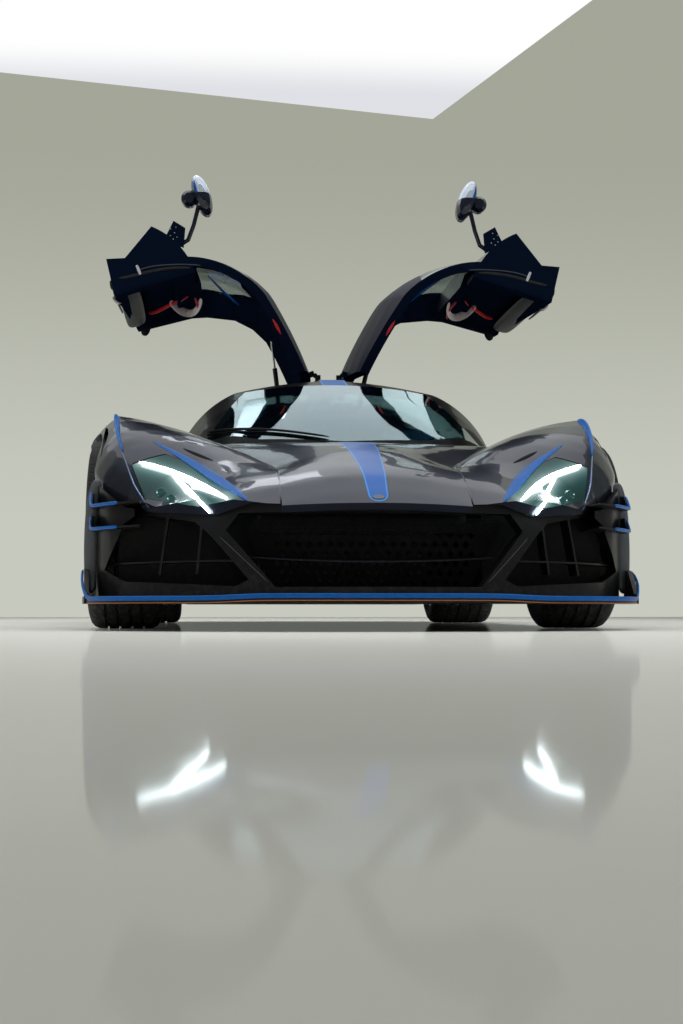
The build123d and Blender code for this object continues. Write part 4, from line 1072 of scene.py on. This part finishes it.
# way out from the wheel's middle, radius
DISC_ROWS = [(59.5, 122), (60, 194), (57.5, 197.5), (24.5, 197.5), (22.5, 194), (22.5, 122)]
BOLTS = 20
for axle, wheel, sign, centre, radius, width, rim_radius in each_wheel():
    work = bmesh.new()
    spun(work, [(sign * out, r) for out, r in metres(DISC_ROWS)], centre, 72)
    finished(f"brake_disc_{wheel}", work, f"disc_{axle}", f"wheel_{wheel}", sharp=30)
    # bolts round the rim's lip
    work = bmesh.new()
    ring, lip = rim_radius - 0.0085, sign * (WHEELS[axle][0] + width / 2 - 0.0145)
    for step in range(BOLTS):
        a = 2 * pi * (step + 0.5) / BOLTS
        seat = (lip, WHEELS[axle][1] + ring * sin(a), radius + ring * cos(a))
        cone(work, 6, 0.0042, 0.0036, 0.005, placed(seat, 90, "Y"))
    finished(f"rim_bolts_{wheel}", work, "steel", f"wheel_{wheel}", sharp=25)


# ---- stage ----
def panel(name, corners, material):
    """Flat four-cornered stage panel; its front is where the corners run anticlockwise."""
    work = bmesh.new()
    bmesh.ops.create_grid(work, x_segments=1, y_segments=1, size=1.0)
    face, = work.faces
    for vert, corner in zip(face.verts, corners):
        vert.co = corner
    mesh_piece(name, work, material)


def stage_material(name, colour, low, high, span, axis):
    """Plain stage surface: colour is for its light on the object, low and high are what it shows
    from one end of span to the other along an axis (0 to 2). Clear from behind."""
    material, tree, at = blank(name)
    path = add(tree, "ShaderNodeLightPath").outputs
    seen = Signal(path["Is Camera Ray"]) + Signal(path["Is Glossy Ray"])
    seen = seen.maths("ADD", Signal(path["Is Transmission Ray"]), clamp=True)
    shade = mixed(ramp(xyz(at)[axis], *span), low, high)
    plain = signal(tree, "ShaderNodeBsdfDiffuse", {"Color": (*colour, 1.0)})
    glow = signal(tree, "ShaderNodeEmission", {"Color": shade, "Strength": 1.0})
    front = signal(tree, "ShaderNodeMixShader", {0: seen, 1: plain, 2: glow})
    behind = signal(tree, "ShaderNodeNewGeometry", output="Backfacing")
    clear = signal(tree, "ShaderNodeBsdfTransparent")
    shown = signal(tree, "ShaderNodeMixShader", {0: behind, 1: front, 2: clear})
    add(tree, "ShaderNodeOutputMaterial", {0: shown})
    return material


def floor_material():
    """Pale polished floor that keeps the car's shadow and a milky reflection."""
    material, tree, at = blank("floor_polish")
    along = xyz(at)[1]
    shade = mixed(ramp(along, -7.4, -4.0), (0.93, 0.93, 0.85), (0.94, 0.94, 0.88))
    polish = ramp(along, -6.98, -6.70) * 0.15 + 0.07
    plain = signal(tree, "ShaderNodeBsdfDiffuse", {"Color": shade})
    gloss = signal(tree, "ShaderNodeBsdfGlossy", {"Color": (0.95, 0.97, 1.0, 1.0), "Roughness": 0.05})
    shown = signal(tree, "ShaderNodeMixShader", {0: polish, 1: plain, 2: gloss})
    add(tree, "ShaderNodeOutputMaterial", {0: shown})
    return material


def soft_lamp(name, centre, target, size, power, turn=0.0):
    """Rectangular soft light aimed at a point."""
    light = bpy.data.lights.new(name, "AREA")
    light.shape, light.size, light.size_y = "RECTANGLE", *size
    light.energy = power
    lamp = linked(name, light)
    aim = (Vector(target) - Vector(centre)).to_track_quat("-Z", "Y").to_matrix().to_4x4()
    lamp.matrix_world = placed(centre, turn, "Z") @ aim
    lamp.visible_glossy = lamp.visible_camera = False


HALF_WIDTH, FRONT, BACK, TALL = 16, -12, 9, 14
panel("floor", [(-HALF_WIDTH, FRONT, 0), (HALF_WIDTH, FRONT, 0), (HALF_WIDTH, BACK, 0),
                (-HALF_WIDTH, BACK, 0)], floor_material())
# the wall shows brighter near the floor and darker higher up: painted light
panel("wall", [(-HALF_WIDTH, BACK, 0), (HALF_WIDTH, BACK, 0), (HALF_WIDTH, BACK, TALL),
               (-HALF_WIDTH, BACK, TALL)],
      stage_material("wall_painted_light", (0.47, 0.48, 0.425), (0.57, 0.585, 0.52), (0.37, 0.38, 0.315),
                     (0.6, 5.0), 2))
MIDDLE, CEILING_TURN, GREY = (-0.39, 0.32), 14.5, (0.5, 0.5, 0.5)
ceiling = placed((*MIDDLE, 4.52), CEILING_TURN, "Z")
panel("ceiling_panel", [ceiling @ Vector((x, y, 0)) for x, y in ((-3.5, -6), (-3.5, 6), (3.5, 6), (3.5, -6))],
      stage_material("ceiling_glow", GREY, (1.0, 1.0, 1.0), (0.74, 0.75, 0.79), (5.2, 6.4), 1))
panel("ceiling_lamp", [(-1.05, 1.85, 4.50), (-0.80, 3.40, 4.50), (-0.20, 3.40, 4.50), (-0.30, 1.85, 4.50)],
      stage_material("lamp_glow", GREY, (4.0, 4.0, 4.2), (1.0, 1.0, 1.0), (2.4, 3.4), 1))
soft_lamp("ceiling_light", (*MIDDLE, 4.5), (*MIDDLE, 0.0), (7.0, 12.0), 300, CEILING_TURN)
soft_lamp("left_light", (7.0, -3.0, 2.4), (0, -0.5, 0.6), (3.0, 2.4), 60)
soft_lamp("right_light", (-7.0, -3.0, 2.4), (0, -0.5, 0.6), (3.0, 2.4), 60)

world = bpy.data.worlds.new("studio")
bpy.context.scene.world = world
world.use_nodes = True
world.node_tree.nodes["Background"].inputs[0].default_value = (0.56, 0.58, 0.55, 1.0)
world.node_tree.nodes["Background"].inputs[1].default_value = 0.22
